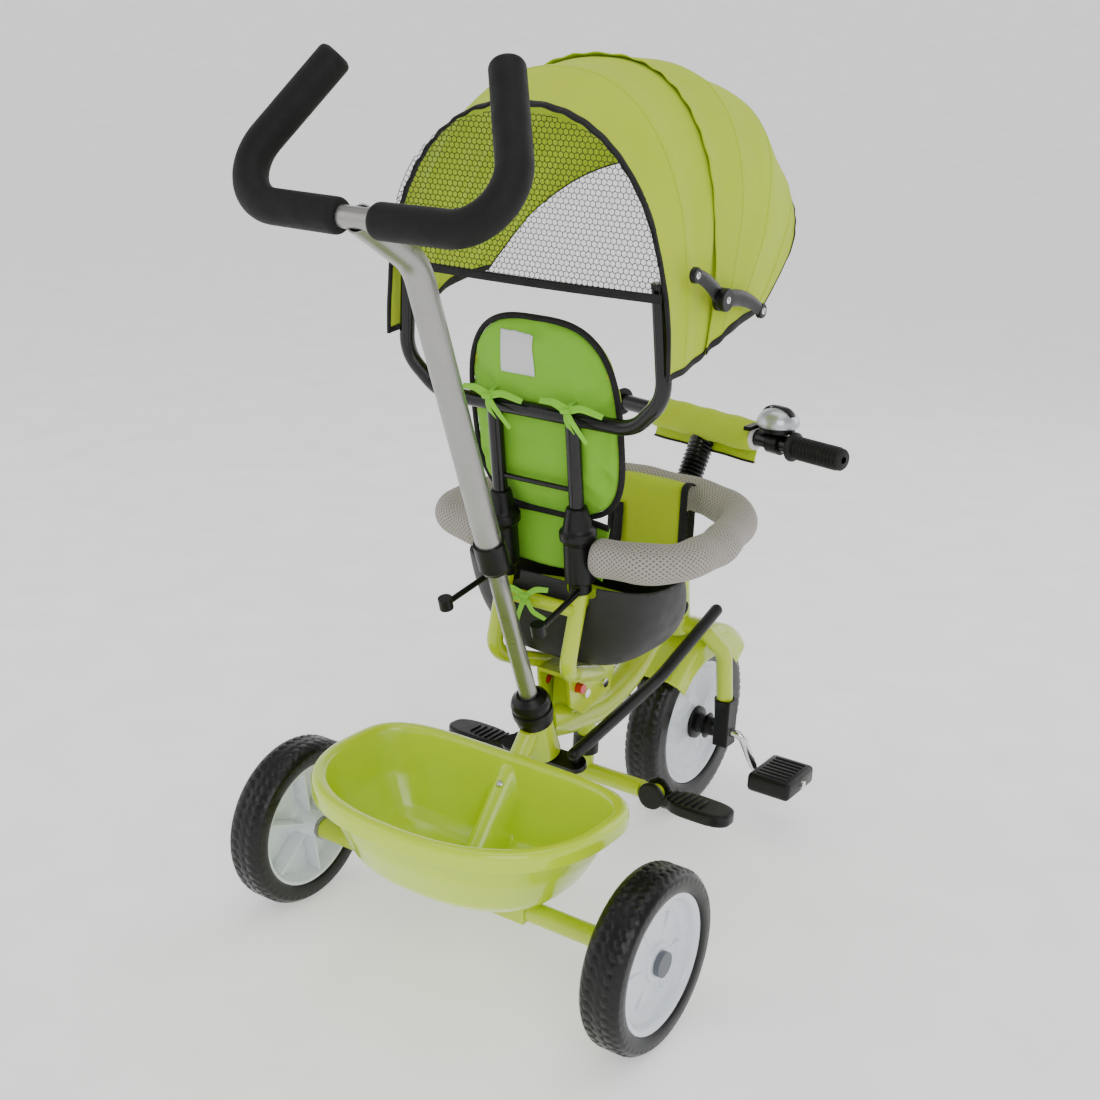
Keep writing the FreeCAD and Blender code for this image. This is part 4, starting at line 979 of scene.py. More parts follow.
@dataclass
class SeatUnit:
    """The shell, its cushions, the crotch guard, the guard ring and the ties."""

    back_low: Vector = Vector((0, -143, 500))
    back_high: Vector = Vector((0, -94, 727))
    back_half: float = 98.0
    back_thick: float = 34.0
    ring_points: tuple = ((70, -128, 472), (155, -150, 472), (159, -250, 472), (133, -368, 475),
                          (60, -398, 480),
                          (0, -398, 480))
    ring_radius: float = 22.0
    pad_clearance: float = 0.06

    def back_frame(self) -> tuple[Vector, Vector, Vector]:
        """The back cushion's middle, its upward direction and its forward direction."""
        up = (self.back_high - self.back_low).normalized()
        return (self.back_low + self.back_high) / 2, up, Vector((0, -up.z, up.y))

    def on_back(self, angle: float, depth: float, scale: float) -> Vector:
        """A point of the back cushion's outline, depth in front of its back face."""
        middle, up, ahead = self.back_frame()
        cosine, sine = math.cos(angle), math.sin(angle)
        across = self.back_half * scale * math.copysign(abs(cosine) ** (2 / 3.2), cosine)
        tall = (self.back_high - self.back_low).length / 2 * scale * math.copysign(
            abs(sine) ** (2 / (2.6 if sine > 0 else 3.6)), sine)
        return FRAME.at(*(middle + Vector((across, 0, 0)) + up * tall + ahead * depth))

    def back_cushion(self, wardrobe: Wardrobe) -> None:
        """The back cushion: lime in front, green behind, with tape round its seam."""
        cushion = pad_from("back_cushion", "back_cushion_pad", 5 * MM, 6 * MM, 3.5 * MM)
        middle, up, ahead = self.back_frame()
        seam = FRAME.at(*middle).dot(ahead) + self.back_thick * 0.3 * MM
        centre = FRAME.at(*middle)
        for vertex in cushion.data.vertices:
            depth = vertex.co.dot(ahead) - seam
            local = vertex.co - centre
            across, tall = local.x, local.dot(up)
            if depth < 0:
                pull = (math.exp(-((tall + 0.028) / 0.012) ** 2)
                        + 0.7 * math.exp(-((tall - 0.062) / 0.02) ** 2))
                ripple = (math.sin(across * 210 + math.sin(tall * 40) * 2.0)
                          * math.exp(-((abs(across) - 0.085) / 0.02) ** 2))
                vertex.co += ahead * (0.0018 * pull + 0.0011 * ripple)
            else:
                channel = (math.exp(-((tall - 0.02) / 0.006) ** 2)
                           + math.exp(-((abs(across) - 0.045) / 0.005) ** 2))
                vertex.co -= ahead * (0.0030 * min(1.0, channel))
        cushion.data.materials.append(wardrobe.lime_cloth)
        cushion.data.materials.append(wardrobe.green_cloth)
        for face in cushion.data.polygons:
            face.material_index = 1 if face.center.dot(ahead) < seam else 0
        finish(cushion, "seat", wardrobe.lime_cloth, ["back_cushion"])
        route = evenly([self.on_back(FULL_TURN * k / 240, self.back_thick * 0.3,
                                     0.985) for k in range(241)], 4 * MM)
        tape = sweep("back_cushion_binding", route, lambda s: 3.0 * MM, 10, lambda s: 3.6 * MM, closed=True)
        finish(tape, "seat", wardrobe.binding)

    def back_flap(self, wardrobe: Wardrobe) -> None:
        """The green lining that runs from the back cushion down behind the seat, with its taped edge."""
        def place(u: float, v: float) -> Vector:
            """The place of a point from its two shares."""
            x = (u - 0.5) * 2 * (76 - 6 * v)
            y = -152 - 3 * math.sin(u * 9) * v + 2.5 * math.sin(math.pi * v)
            z = 503 - 62 * v - 4 * abs(2 * u - 1) ** 3
            return FRAME.at(x, y, z)

        flap = surface("back_lining_flap", 48, 20, place, (0.16, 0.062), outward=False, angle=80)
        thicken(flap, 1.6 * MM, 0.0)
        finish(flap, "seat", wardrobe.green_cloth)
        route = evenly([place(k / 30, 0.0) + Vector((0, 0.0025, 0.001)) for k in range(31)], 4 * MM)
        tape = sweep("back_flap_binding", route, lambda s: 4.2 * MM, 10, lambda s: 2.2 * MM,
                     Vector((0, 0.2, 0.98)))
        finish(tape, "seat", wardrobe.binding)

    def seat_cushion(self, wardrobe: Wardrobe) -> None:
        """The seat cushion with tape round its edge."""
        cushion = pad_from("seat_cushion", "seat_cushion_pad", 4.5 * MM, 2 * MM, 5 * MM)
        low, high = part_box("seat_cushion")
        centre = (low + high) / 2
        for vertex in cushion.data.vertices:
            local = vertex.co - centre
            channel = (math.exp(-((abs(local.x) - 0.05) / 0.006) ** 2)
                       + math.exp(-((local.y - 0.01) / 0.006) ** 2))
            if local.z > 0.004:
                vertex.co.z -= 0.0028 * min(1.0, channel)
            vertex.co.x -= local.x * self.pad_clearance
            vertex.co.y -= local.y * self.pad_clearance
        finish(cushion, "seat", wardrobe.lime_cloth, ["seat_cushion"])
        half_x, half_y = 107, 87

        def edge(angle: float) -> Vector:
            """The outline at one place along it."""
            cosine, sine = math.cos(angle), math.sin(angle)
            x = half_x * math.copysign(abs(cosine) ** 0.62, cosine)
            y = -246 + half_y * math.copysign(abs(sine) ** 0.62, sine)
            return FRAME.at(x, y, 372 + 1.2 * math.sin(9 * angle))

        route = evenly([edge(FULL_TURN * k / 240) for k in range(241)], 4 * MM)
        tape = sweep("seat_cushion_binding", route, lambda s: 2.4 * MM, 10, closed=True)
        finish(tape, "seat", wardrobe.binding)

    def crotch_guard(self, wardrobe: Wardrobe) -> None:
        """The padded panel between the legs, its taped edges and its strap."""
        guard = pad_from("crotch_guard", "crotch_guard_pad", 4 * MM, 3 * MM, 2 * MM)
        finish(guard, "seat", wardrobe.lime_cloth, ["crotch_guard"])
        for side in Side:
            x = side.value * 51
            route = rounded_route([FRAME.at(x, -364, 388), FRAME.at(x, -363, 499), FRAME.at(x, -385, 499),
                                   FRAME.at(x, -386, 388)], 9 * MM)
            tape = sweep(f"crotch_binding_{side.name.lower()}", route, lambda s: 1.4 * MM, 12,
                         lambda s: 5.0 * MM,
                         Vector((0, 0.6, 0.8)))
            finish(tape, "seat", wardrobe.binding)
        strap_route = rounded_route([FRAME.at(38, -360, 462), FRAME.at(38, -359, 415),
                                     FRAME.at(40, -350, 392)], 20 * MM)
        strap = sweep("crotch_strap", strap_route, lambda s: 0.9 * MM, 12, lambda s: 6.5 * MM,
                      Vector((0, 1, 0)))
        finish(strap, "seat", wardrobe.binding)

    def guard_ring(self, wardrobe: Wardrobe) -> None:
        """The foam guard ring in its grey spacer mesh, gathered at both ends."""
        left = [FRAME.at(*p) for p in self.ring_points]
        right = [FRAME.at(-p[0], p[1], p[2]) for p in reversed(self.ring_points[:-1])]
        route = rounded_route(left[:-1] + right, 70 * MM, 3.5 * MM)
        total = length_of(route)

        def radius(share: float) -> float:
            """The radius at a share of the route."""
            reach = min(share, 1 - share) * total
            gather = 1 - 0.30 * max(0.0, 1 - reach / 0.010) ** 2
            lumps = 0.0006 * math.sin(share * 83) + 0.0005 * math.sin(share * 41 + 1)
            return self.ring_radius * MM * gather + lumps

        ring = sweep("guard_ring_cover", route, radius, 48)
        finish(ring, "seat", wardrobe.spacer, ["guard_ring"])

    def shell(self, wardrobe: Wardrobe) -> None:
        """The bucket shell with its thick lip and the bolted boss beneath."""
        shell = moulded("seat_shell", "seat_bucket_shell", 2.4 * MM, 8)
        finish(shell, "seat", wardrobe.shell_plastic, ["seat_shell"])

    def ribbon(self, name: str, spots: Sequence[tuple[float, float, float]], width: float,
               wardrobe: Wardrobe) -> None:
        """A flat tie through a few points, twisting as it goes."""
        route = rounded_route([FRAME.at(*p) for p in spots], 16 * MM, 2.5 * MM)
        tie = sweep(name, route, lambda s: 0.55 * MM, 10, lambda s: width * MM * (1 - 0.35 * s),
                    Vector((0.2, 0.85, 0.45)))
        finish(tie, "seat", wardrobe.ribbon_cloth)

    def ties(self, wardrobe: Wardrobe) -> None:
        """The three bows that hold the cushions to the frame."""
        for number, (x, tail) in enumerate(((51, -34), (-51, -30))):
            y, z = -92, 634
            self.ribbon(f"tie_loop_{number}",
                        ((x - 2, -101, 612), (x, y, z - 8), (x + 1, y + 1, z + 6), (x - 1, -101, z + 12),
                                               (x, -112, z + 9)), 4.5, wardrobe)
            self.ribbon(f"tie_wing_{number}a",
                        ((x, y, z + 4), (x + 16, y + 2, z + 11), (x + 36, y - 2, z + 9)), 5.0, wardrobe)
            self.ribbon(f"tie_wing_{number}b",
                        ((x, y, z + 4), (x - 20, y + 3, z + 10), (x - 44, y - 1, z + 4)), 5.0, wardrobe)
            self.ribbon(f"tie_tail_{number}", ((x, y + 1, z + 3), (x + tail * 0.4, y + 7, z - 6),
                                               (x + tail, y + 5, z - 26)), 3.6, wardrobe)
            knot = sweep(f"tie_knot_{number}", [FRAME.at(x - 5, y + 1, z + 3), FRAME.at(x, y + 3, z + 4),
                                                FRAME.at(x + 5, y + 1, z + 3)], lambda s: 3.4 * MM, 12)
            finish(knot, "seat", wardrobe.ribbon_cloth)
        x, y, z = 6, -117, 412
        self.ribbon("tie_low_loop_a",
                    ((x, y + 4, z), (x + 20, y + 8, z + 9), (x + 38, y + 8, z - 1), (x + 36, y + 8, z - 12),
                                       (x + 16, y + 8, z - 5), (x, y + 5, z)), 4.0, wardrobe)
        self.ribbon("tie_low_loop_b", ((x, y + 4, z), (x - 14, y + 6, z + 12), (x - 30, y + 4, z + 14)),
                    4.5, wardrobe)
        self.ribbon("tie_low_tail_a", ((x, y + 5, z), (x + 4, y + 9, z - 18), (x + 9, y + 9, z - 42)), 4.5,
                    wardrobe)
        self.ribbon("tie_low_tail_b", ((x, y + 5, z), (x - 14, y + 9, z - 14), (x - 30, y + 6, z - 20)),
                    3.6, wardrobe)
        knot = sweep("tie_low_knot",
                     [FRAME.at(x - 5, y + 5, z), FRAME.at(x, y + 7, z + 1), FRAME.at(x + 5, y + 5, z)],
                     lambda s: 3.6 * MM, 12)
        finish(knot, "seat", wardrobe.ribbon_cloth)

    def label(self, wardrobe: Wardrobe) -> None:
        """The blank sewn label high on the back lining."""
        middle, up, ahead = self.back_frame()

        def place(u: float, v: float) -> Vector:
            """The place of a point from its two shares."""
            spot = middle + Vector((42 - 44 * u, 0, 0)) + up * (104 - 50 * v)
            curl = 2.0 * v * v + 0.8 * math.sin(u * 5)
            return FRAME.at(*(spot - ahead * (9.0 + curl)))

        label = surface("care_label", 20, 20, place, (0.044, 0.05), outward=False)
        wrap = label.modifiers.new("Lies on the lining", "SHRINKWRAP")
        wrap.target = bpy.data.objects["back_cushion_pad"]
        wrap.wrap_mode = "ABOVE_SURFACE"
        wrap.offset = 0.8 * MM
        apply_all(label)
        thicken(label, 0.5 * MM, 0.0)
        finish(label, "seat", wardrobe.label_cloth)

    def build(self, wardrobe: Wardrobe) -> None:
        """Builds every piece of the seat unit."""
        self.shell(wardrobe)
        self.back_cushion(wardrobe)
        self.back_flap(wardrobe)
        self.seat_cushion(wardrobe)
        self.crotch_guard(wardrobe)
        self.guard_ring(wardrobe)
        self.ties(wardrobe)
        self.label(wardrobe)


# ---------------------------------------------------------------- canopy

@dataclass(frozen=True)
class Bow:
    """One arch of the canopy: side-view base and apex, half width and squareness."""

    base: tuple[float, float]
    apex: tuple[float, float]
    half: float
    power: float = 2.3


@dataclass
class Canopy:
    """The canopy: cloth over bows, its binding, net window, straps and hinge arms."""

    pivot: tuple[float, float] = (-145, 767)
    thread: float = 0.0009

    def rear_bows(self) -> list[Bow]:
        """The bows of the fixed rear part."""
        return [Bow((-76, 690), (-62, 945), 178), Bow((-105, 694), (-128, 980), 178),
                Bow((-140, 704), (-205, 990), 178),
                Bow((-157, 716), (-224, 992), 179.5)]

    def front_bows(self) -> list[Bow]:
        """The bows of the folding front part."""
        return [Bow((-144, 709), (-206, 995), 181.5), Bow((-166, 718), (-276, 990), 184, 2.5),
                Bow((-190, 728), (-350.7, 965.7), 186, 2.8), Bow((-235, 738), (-414, 904), 184, 2.8),
                Bow((-262, 742), (-430.7, 876.7), 181, 2.8)]

    @staticmethod
    def across(bows: Sequence[Bow], share: float, turn: float) -> Vector:
        """A point of the cloth in millimetres: share runs over the bows, turn from one side to the other."""
        place = share * (len(bows) - 1)
        index = min(int(place), len(bows) - 2)
        local = place - index
        run = [bows[max(index - 1, 0)], bows[index], bows[index + 1], bows[min(index + 2, len(bows) - 1)]]
        spots = []
        for bow in run:
            angle = math.pi * turn
            cosine, sine = math.cos(angle), math.sin(angle)
            rise = max(sine, 0.0) ** (2 / bow.power)
            spots.append(Vector((bow.half * math.copysign(abs(cosine) ** (2 / bow.power), cosine),
                                 bow.base[0] + (bow.apex[0] - bow.base[0]) * rise,
                                 bow.base[1] + (bow.apex[1] - bow.base[1]) * rise)))
        a, b, c, d = spots
        square, cube = local * local, local ** 3
        return 0.5 * (b * 2 + (c - a) * local + (a * 2 - b * 5 + c * 4 - d) * square
                      + (b * 3 - a - c * 3 + d) * cube)

    def cloth(self, bows: Sequence[Bow], dips: Sequence[float]) -> Shape:
        """The draped cloth: it sags between bows, puckers at its edges and creases near the hinges."""
        middle = Vector((0, self.pivot[0], self.pivot[1] + 40))

        def place(u: float, v: float) -> Vector:
            """The place of a point from its two shares."""
            spot = self.across(bows, v, u)
            inward = (middle - spot).normalized()
            over = math.sin(math.pi * u)
            index = min(int(v * len(dips)), len(dips) - 1)
            local = v * len(dips) - index
            sag = dips[index] * math.sin(math.pi * local) ** 2 * (0.25 + 0.75 * over)
            sag += 0.9 * math.sin(u * 150) * (math.exp(-v / 0.05) + math.exp(-(1 - v) / 0.05)) * over
            side = min(u, 1 - u)
            fold = math.exp(-((side - 0.10) / 0.07) ** 2)
            sag += 1.3 * fold * math.sin(v * 15 + u * 31) + 0.7 * fold * math.sin(v * 27 - u * 13)
            return FRAME.at(*(spot + inward * sag))

        return place

    def strip(self, name: str, body: str, place: Shape, spans: tuple[float, float, float, float],
              columns: int, rows: int,
              wardrobe: Wardrobe, thickness: float = 2.6) -> None:
        """Tape on both faces of the cloth over a span of its two shares."""
        u0, u1, v0, v1 = spans
        band = surface(name, columns, rows, lambda u, v: place(u0 + (u1 - u0) * u, v0 + (v1 - v0) * v),
                       outward=False, angle=70)
        thicken(band, thickness * MM, 0.0)
        finish(band, body, wardrobe.binding)

    def part(self, name: str, node: str, body: str, bows: Sequence[Bow], dips: Sequence[float],
             flat: tuple[float, float],
             wardrobe: Wardrobe) -> Shape:
        """One part of the canopy: the cloth, cut to a flat size and area, and its bow seams."""
        place = self.cloth(bows, dips)
        sheet = surface(name, 150, 16 * (len(bows) - 1), place, flat, outward=False, angle=80)
        thicken(sheet, 1.3 * MM, 0.0)
        finish(sheet, body, wardrobe.canopy_cloth, [node])
        for number in range(1, len(bows) - 2 if node == "canopy_rear" else len(bows) - 1):
            share = number / (len(bows) - 1)
            seam = surface(f"{name}_seam_{number}", 150, 3,
                           lambda u, v: place(u, share + (v - 0.5) * 0.012 * 3 / len(bows)), outward=False,
                           angle=80)
            thicken(seam, 2.3 * MM, 0.0)
            finish(seam, body, wardrobe.canopy_cloth)
        return place

    def build_cloth(self, wardrobe: Wardrobe) -> None:
        """The rear and front cloths and all their tape."""
        rear = self.part("canopy_rear_cloth", "canopy_rear", "seat", self.rear_bows(), (4.0, 4.0, 1.0),
                         (0.770, 0.172),
                         wardrobe)
        front = self.part("canopy_front_cloth", "canopy_front", "canopy_front", self.front_bows(),
                          (5.5, 4.0, 3.0, 1.5),
                          (0.795, 0.265), wardrobe)
        self.strip("canopy_rear_binding", "seat", rear, (0, 1, -0.012, 0.042), 150, 4, wardrobe, 3.4)
        for number, (low, high) in enumerate(((-0.004, 0.0045), (0.9955, 1.004))):
            self.strip(f"canopy_rear_side_tape_{number}", "seat", rear, (max(low, 0), min(high, 1), 0, 1),
                       4, 30, wardrobe)
            self.strip(f"canopy_front_side_tape_{number}", "canopy_front", front,
                       (max(low, 0), min(high, 1), 0, 1), 4, 60,
                       wardrobe)
        self.strip("canopy_front_binding", "canopy_front", front, (0, 1, 0.975, 1.0), 150, 4, wardrobe, 3.2)

        def strap(u: float, v: float) -> Vector:
            """A point of the strap."""
            spot = rear(0.615 + 0.022 * u, 0.04 + 0.60 * v)
            return spot - Vector((0, 0, 5 * MM))

        web = surface("canopy_inner_strap", 4, 40, strap, outward=False, angle=80)
        thicken(web, 1.4 * MM, 0.0)
        finish(web, "seat", wardrobe.binding)

    def net(self, wardrobe: Wardrobe) -> None:
        """The net window: six-sided meshes of thin thread inside the rear arch, with a taped lower edge."""
        bow = self.rear_bows()[0]
        up = Vector((0, bow.apex[0] - bow.base[0], bow.apex[1] - bow.base[1])).normalized()
        low = Vector((0, -69, 772))
        rise = (bow.apex[1] - 8 - low.z) / up.z
        half, pitch = 169.0, 6.4

        def edge(x: float) -> float:
            """The outline at one place along it."""
            share = min(abs(x) / half, 1.0)
            return rise * (1 - share ** bow.power) ** (1 / bow.power)

        mesh = bmesh.new()
        known: dict[tuple[int, int], bmesh.types.BMVert] = {}
        side = pitch / math.sqrt(3)
        for row in range(int(rise / (1.5 * side)) + 2):
            for column in range(-30, 31):
                x = pitch * (column + 0.5 * (row % 2))
                tall = 1.5 * side * row
                if abs(x) > half - 3 or tall > edge(x) - 1:
                    continue
                ring = []
                for corner in range(6):
                    angle = math.pi / 6 + math.pi / 3 * corner
                    px, pz = x + side * math.cos(angle), max(tall + side * math.sin(angle), 0.0)
                    px = max(-half + 1, min(half - 1, px))
                    pz = min(pz, edge(px))
                    key = (round(px * 20), round(pz * 20))
                    if key not in known:
                        sag = (3.0 * math.sin(math.pi * (px + half) / (2 * half))
                               * math.sin(math.pi * min(pz / rise, 1)))
                        spot = low + Vector((px, 0, 0)) + up * pz + Vector((0, -sag, 0))
                        known[key] = mesh.verts.new(FRAME.at(*spot))
                    if known[key] not in ring:
                        ring.append(known[key])
                if len(ring) > 2 and not mesh.faces.get(ring):
                    mesh.faces.new(ring)
        deselect_all()
        bpy.ops.mesh.primitive_plane_add(size=0.1)
        piece = name_new("canopy_net_window")
        mesh.to_mesh(piece.data)
        mesh.free()
        wires = piece.modifiers.new("Threads", "WIREFRAME")
        wires.thickness = self.thread
        wires.use_boundary = True
        apply_all(piece)
        finish(piece, "seat", wardrobe.net, ["canopy_mesh"])

        def hem(u: float, v: float) -> Vector:
            """A point of the hem."""
            return FRAME.at((u - 0.5) * 2 * half, low.y - 1.5 * math.sin(math.pi * u),
                            low.z + 4 - 9 * v - 2 * math.sin(math.pi * u))

        tape = surface("canopy_net_hem", 60, 3, hem, outward=False)
        thicken(tape, 2.4 * MM, 0.0)
        finish(tape, "seat", wardrobe.binding)

    def hinges(self, wardrobe: Wardrobe) -> None:
        """The curved two-arm brackets with their screws, one pair on each side."""
        pivot_y, pivot_z = self.pivot
        fixed, moving = [], []
        for side in Side:
            x0, x1 = side.value * 193.0, side.value * 199.4
            for group, x, end, bulge in ((fixed, x0, (-90, 796), 9), (moving, x1, (-226, 747), 13)):
                middle = ((pivot_y + end[0]) / 2, (pivot_z + end[1]) / 2 + bulge)
                route = [FRAME.at(x, *self.curve((pivot_y, pivot_z), middle, end, k / 24)) for k in range(25)]
                arm = sweep("arm", route, lambda s: 3.0 * MM, 16, lambda s: (9.5 - 3.0 * s) * MM,
                            Vector((1, 0, 0)))
                group.append(arm)
                for spot, size in (((pivot_y, pivot_z), 12.0), (end, 8.0)):
                    profile = [(-3.2, 0), (-3.2, size - 1), (-2.2, size), (2.2, size), (3.2, size - 1),
                               (3.2, 0)]
                    group.append(turned("boss", [(a * MM, r * MM) for a, r in profile], FRAME.at(x, *spot),
                                        Vector((1, 0, 0)), 32))
        levers = join("canopy_hinge_arms_moving", moving)
        finish(levers, "canopy_front", wardrobe.black_plastic, ["canopy_levers"])
        plates = join("canopy_hinge_arms_fixed", fixed)
        finish(plates, "seat", wardrobe.black_plastic, ["canopy_hinges"])
        for side in Side:
            label = side.name.lower()
            out = Vector((side.value, 0, 0))
            for name, body, x, spot in (("pivot", "canopy_front", 202.4, self.pivot),
                                        ("front", "canopy_front", 202.4, (-226, 747)),
                                        ("rear", "seat", 196.2, (-90, 796))):
                screw = screw_head(f"hinge_screw_{name}_{label}", FRAME.at(side.value * x, *spot), out,
                                   3.6 * MM)
                finish(screw, body, wardrobe.chrome)

    @staticmethod
    def curve(first: tuple[float, float], middle: tuple[float, float], last: tuple[float, float],
              share: float) -> tuple[float, float]:
        """A point of a quadratic curve."""
        return tuple(a * (1 - share) ** 2 + 2 * b * share * (1 - share) + c * share * share
                     for a, b, c in zip(first, middle, last))

    def build(self, wardrobe: Wardrobe) -> None:
        """Builds the canopy."""
        self.build_cloth(wardrobe)
        self.net(wardrobe)
        self.hinges(wardrobe)


# ---------------------------------------------------------------- steering and hand holds

@dataclass
class Handlebar:
    """The handlebar's sleeve, grips and bell, along a bar turned a little to the right."""

    middle: Vector = Vector((0, -497, 545))
    turn: float = math.radians(12.8)
    pad_reach: float = 87.0
    pad_radius: float = 20.0
    grip_span: tuple[float, float] = (144, 222)
    bell_at: float = -119.0

    def on_bar(self, along: float, up: float = 0.0, back: float = 0.0) -> Vector:
        """A point of the bar, with a rise and a distance behind it."""
        cosine, sine = math.cos(self.turn), math.sin(self.turn)
        return FRAME.at(self.middle.x + along * cosine + back * sine,
                        self.middle.y - along * sine + back * cosine,
                        self.middle.z + up)

    @property
    def bar(self) -> Vector:
        """The bar's direction."""
        return Vector((math.cos(self.turn), -math.sin(self.turn), 0))

    def sleeve(self, wardrobe: Wardrobe) -> None:
        """The cloth sleeve round the padding, its taped flap and the white foam at its ends."""
        def place(u: float, v: float) -> Vector:
            """The place of a point from its two shares."""
            angle = FULL_TURN * v - math.pi / 2
            along = (2 * u - 1) * self.pad_reach
            end = 1 - abs(2 * u - 1)
            radius = (self.pad_radius - 2.6 * math.exp(-end / 0.05)
                      + 0.55 * math.sin(u * 25 + 3 * math.sin(angle)))
            radius += 0.5 * math.sin(angle * 5 + u * 9) * math.exp(-end / 0.12)
            return self.on_bar(along, radius * math.sin(angle), radius * math.cos(angle))

        cover = surface("bar_sleeve", 90, 48, place, (0.174, 0.126), angle=80)
        thicken(cover, 1.2 * MM, -1.0)
        finish(cover, "fork", wardrobe.lime_cloth, ["handlebar_pad"])

        def flap(u: float, v: float) -> Vector:
            """A point of the flap."""
            along = (2 * u - 1) * (self.pad_reach - 2)
            return self.on_bar(along, -self.pad_radius + 1.5 - 15 * v,
                               -6 + 4 * v + 1.2 * math.sin(u * 16) * v)

        hem = surface("bar_sleeve_flap", 60, 10, flap, (0.17, 0.016), angle=80)
        thicken(hem, 2.0 * MM, 0.0)
        finish(hem, "fork", wardrobe.lime_cloth)
        route = [flap(k / 40, 1.0) for k in range(41)]
        tape = sweep("bar_sleeve_binding", route, lambda s: 1.6 * MM, 12, lambda s: 3.4 * MM,
                     Vector((0, 0, 1)))
        finish(tape, "fork", wardrobe.binding)
        for side in Side:
            start = side.value * (self.pad_reach - 4)
            profile = rounded_profile([(0, 11, 0), (0, self.pad_radius - 3.5, 1.5),
                                       (side.value * 6.5, self.pad_radius - 3.5, 2.5),
                                       (side.value * 6.5, 11, 0)], 5)
            foam = turned(f"bar_foam_{side.name.lower()}", [(a * MM, r * MM) for a, r in profile],
                          self.on_bar(start), self.bar, 40)
            finish(foam, "fork", wardrobe.white_foam)

    def grips(self, wardrobe: Wardrobe) -> None:
        """The two ribbed grips with their inner flanges."""
        parts = []
        for side in Side:
            low, high = self.grip_span
            profile = [(low, 11.0), (low, 17.4), (low + 1, 18.4), (low + 3.4, 18.4), (low + 5, 17.0),
                       (low + 7, 13.6)]
            station = low + 9
            while station < high - 10:
                profile += [(station, 13.4), (station + 0.9, 14.6), (station + 3.0, 14.6),
                            (station + 3.9, 13.4)]
                station += 5.2
            profile += [(high - 8, 13.8), (high - 3, 13.6), (high - 0.8, 12), (high, 9), (high, 0)]
            parts.append(turned(f"grip_{side.name.lower()}",
                                [(side.value * a * MM, r * MM) for a, r in profile],
                                self.on_bar(0), self.bar, 56, 30))
        grips = join("bar_grips", parts)
        finish(grips, "fork", wardrobe.grip_rubber, ["handlebar_grips"])

    def bell(self, wardrobe: Wardrobe) -> None:
        """The bell's dome with its flat strip and rim."""
        base = self.on_bar(self.bell_at, 14.5)
        profile = [(6.4, 0), (6.4, 25.4), (7.4, 26.6), (9.4, 26.8), (12, 26.6), (17, 25.2), (22, 22),
                   (26, 17), (28.6, 11),
                   (30, 4), (30.2, 0)]
        dome = turned("bell_cover", [(a * MM, r * MM) for a, r in profile], base, Vector((0, 0, 1)), 64, 40)
        finish(dome, "fork", wardrobe.bell_silver, ["bell_dome"])
        route = []
        for step in range(25):
            angle = math.pi * (step / 24)
            reach, rise = 22 * math.cos(angle), 30.6 - 9 * math.cos(angle) ** 4
            route.append(base + self.bar * reach * MM + Vector((0, 0, rise * MM)))
        strip = sweep("bell_strip", route, lambda s: 0.9 * MM, 12, lambda s: 5.4 * MM, Vector((0, 0, 1)))
        finish(strip, "fork", wardrobe.black_plastic)

    def bellows(self, wardrobe: Wardrobe) -> None:
        """The ribbed bellows round the stem's bend."""
        foot = Vector((0, -462, 294))
        up = Vector((0, 0.1736, 0.9848))
        points = [foot + up * 70, foot + up * 92, Vector((0, -462, 470)), Vector((0, -497, 523))]
        route = rounded_route([FRAME.at(*p) for p in points], 40 * MM, 0.7 * MM)
        total = length_of(route)

        def radius(share: float) -> float:
            """The radius at a share of the route."""
            wave = 0.5 - 0.5 * math.cos(FULL_TURN * share * total / (5.5 * MM))
            return (13.6 + 3.3 * wave ** 0.8) * MM

        cover = sweep("stem_bellows_cover", route, radius, 40)
        finish(cover, "fork", wardrobe.bellows_plastic, ["stem_bellows"])

    def build(self, wardrobe: Wardrobe) -> None:
        """Builds the handlebar's pieces."""
        self.sleeve(wardrobe)
        self.grips(wardrobe)
        self.bell(wardrobe)
        self.bellows(wardrobe)


@dataclass
class PushHandle:
    """The foam grips of the push handle and the holes of its tube."""

    hub: Vector = Vector((0, 181, 849))
    radius: float = 17.0
    base: Vector = Vector((0, -139, 245))
    up: Vector = Vector((0, 0.3939, 0.9191))

    def grips(self, wardrobe: Wardrobe) -> None:
        """The two curved foam grips."""
        parts = []
        for side in Side:
            s = side.value
            points = [self.hub + Vector((s * 19, 0, 0)), self.hub + Vector((s * 176, 2, 2)),
                      self.hub + Vector((s * 96.7, -81.4, 136.3))]
            route = rounded_route([FRAME.at(*p) for p in points], 60 * MM, 2.0 * MM)
            total = length_of(route)

            def radius(share: float) -> float:
                """The radius at a share of the route."""
                reach = min(share, 1 - share) * total / MM
                edge = math.sqrt(max(0.0, 1 - (1 - min(reach / 7.0, 1)) ** 2))
                return (self.radius - 5.5 + 5.5 * edge) * MM

            parts.append(sweep(f"foam_grip_{side.name.lower()}", route, radius, 40))
        grips = join("handle_foam_grips", parts)
        finish(grips, "push_handle", wardrobe.grip_foam, ["foam_grips"])

    def tube_details(self, wardrobe: Wardrobe) -> None:
        """The plugged holes on the rear of the lower tube."""
        rear = Vector((0, self.up.z, -self.up.y))
        for number, (along, size) in enumerate(((282, 3.4), (300, 3.4))):
            spot = self.base + self.up * along + rear * 12.75
            profile = [(-0.6, 0), (-0.6, size), (0.5, size), (0.7, size - 0.7), (-0.2, size - 0.9), (-0.2, 0)]
            plug = turned(f"tube_hole_{number}", [(a * MM, r * MM) for a, r in profile], FRAME.at(*spot),
                          rear, 28)
            finish(plug, "push_column", wardrobe.black_plastic)

    def build(self, wardrobe: Wardrobe) -> None:
        """Builds the push handle's pieces."""
        self.grips(wardrobe)
        self.tube_details(wardrobe)


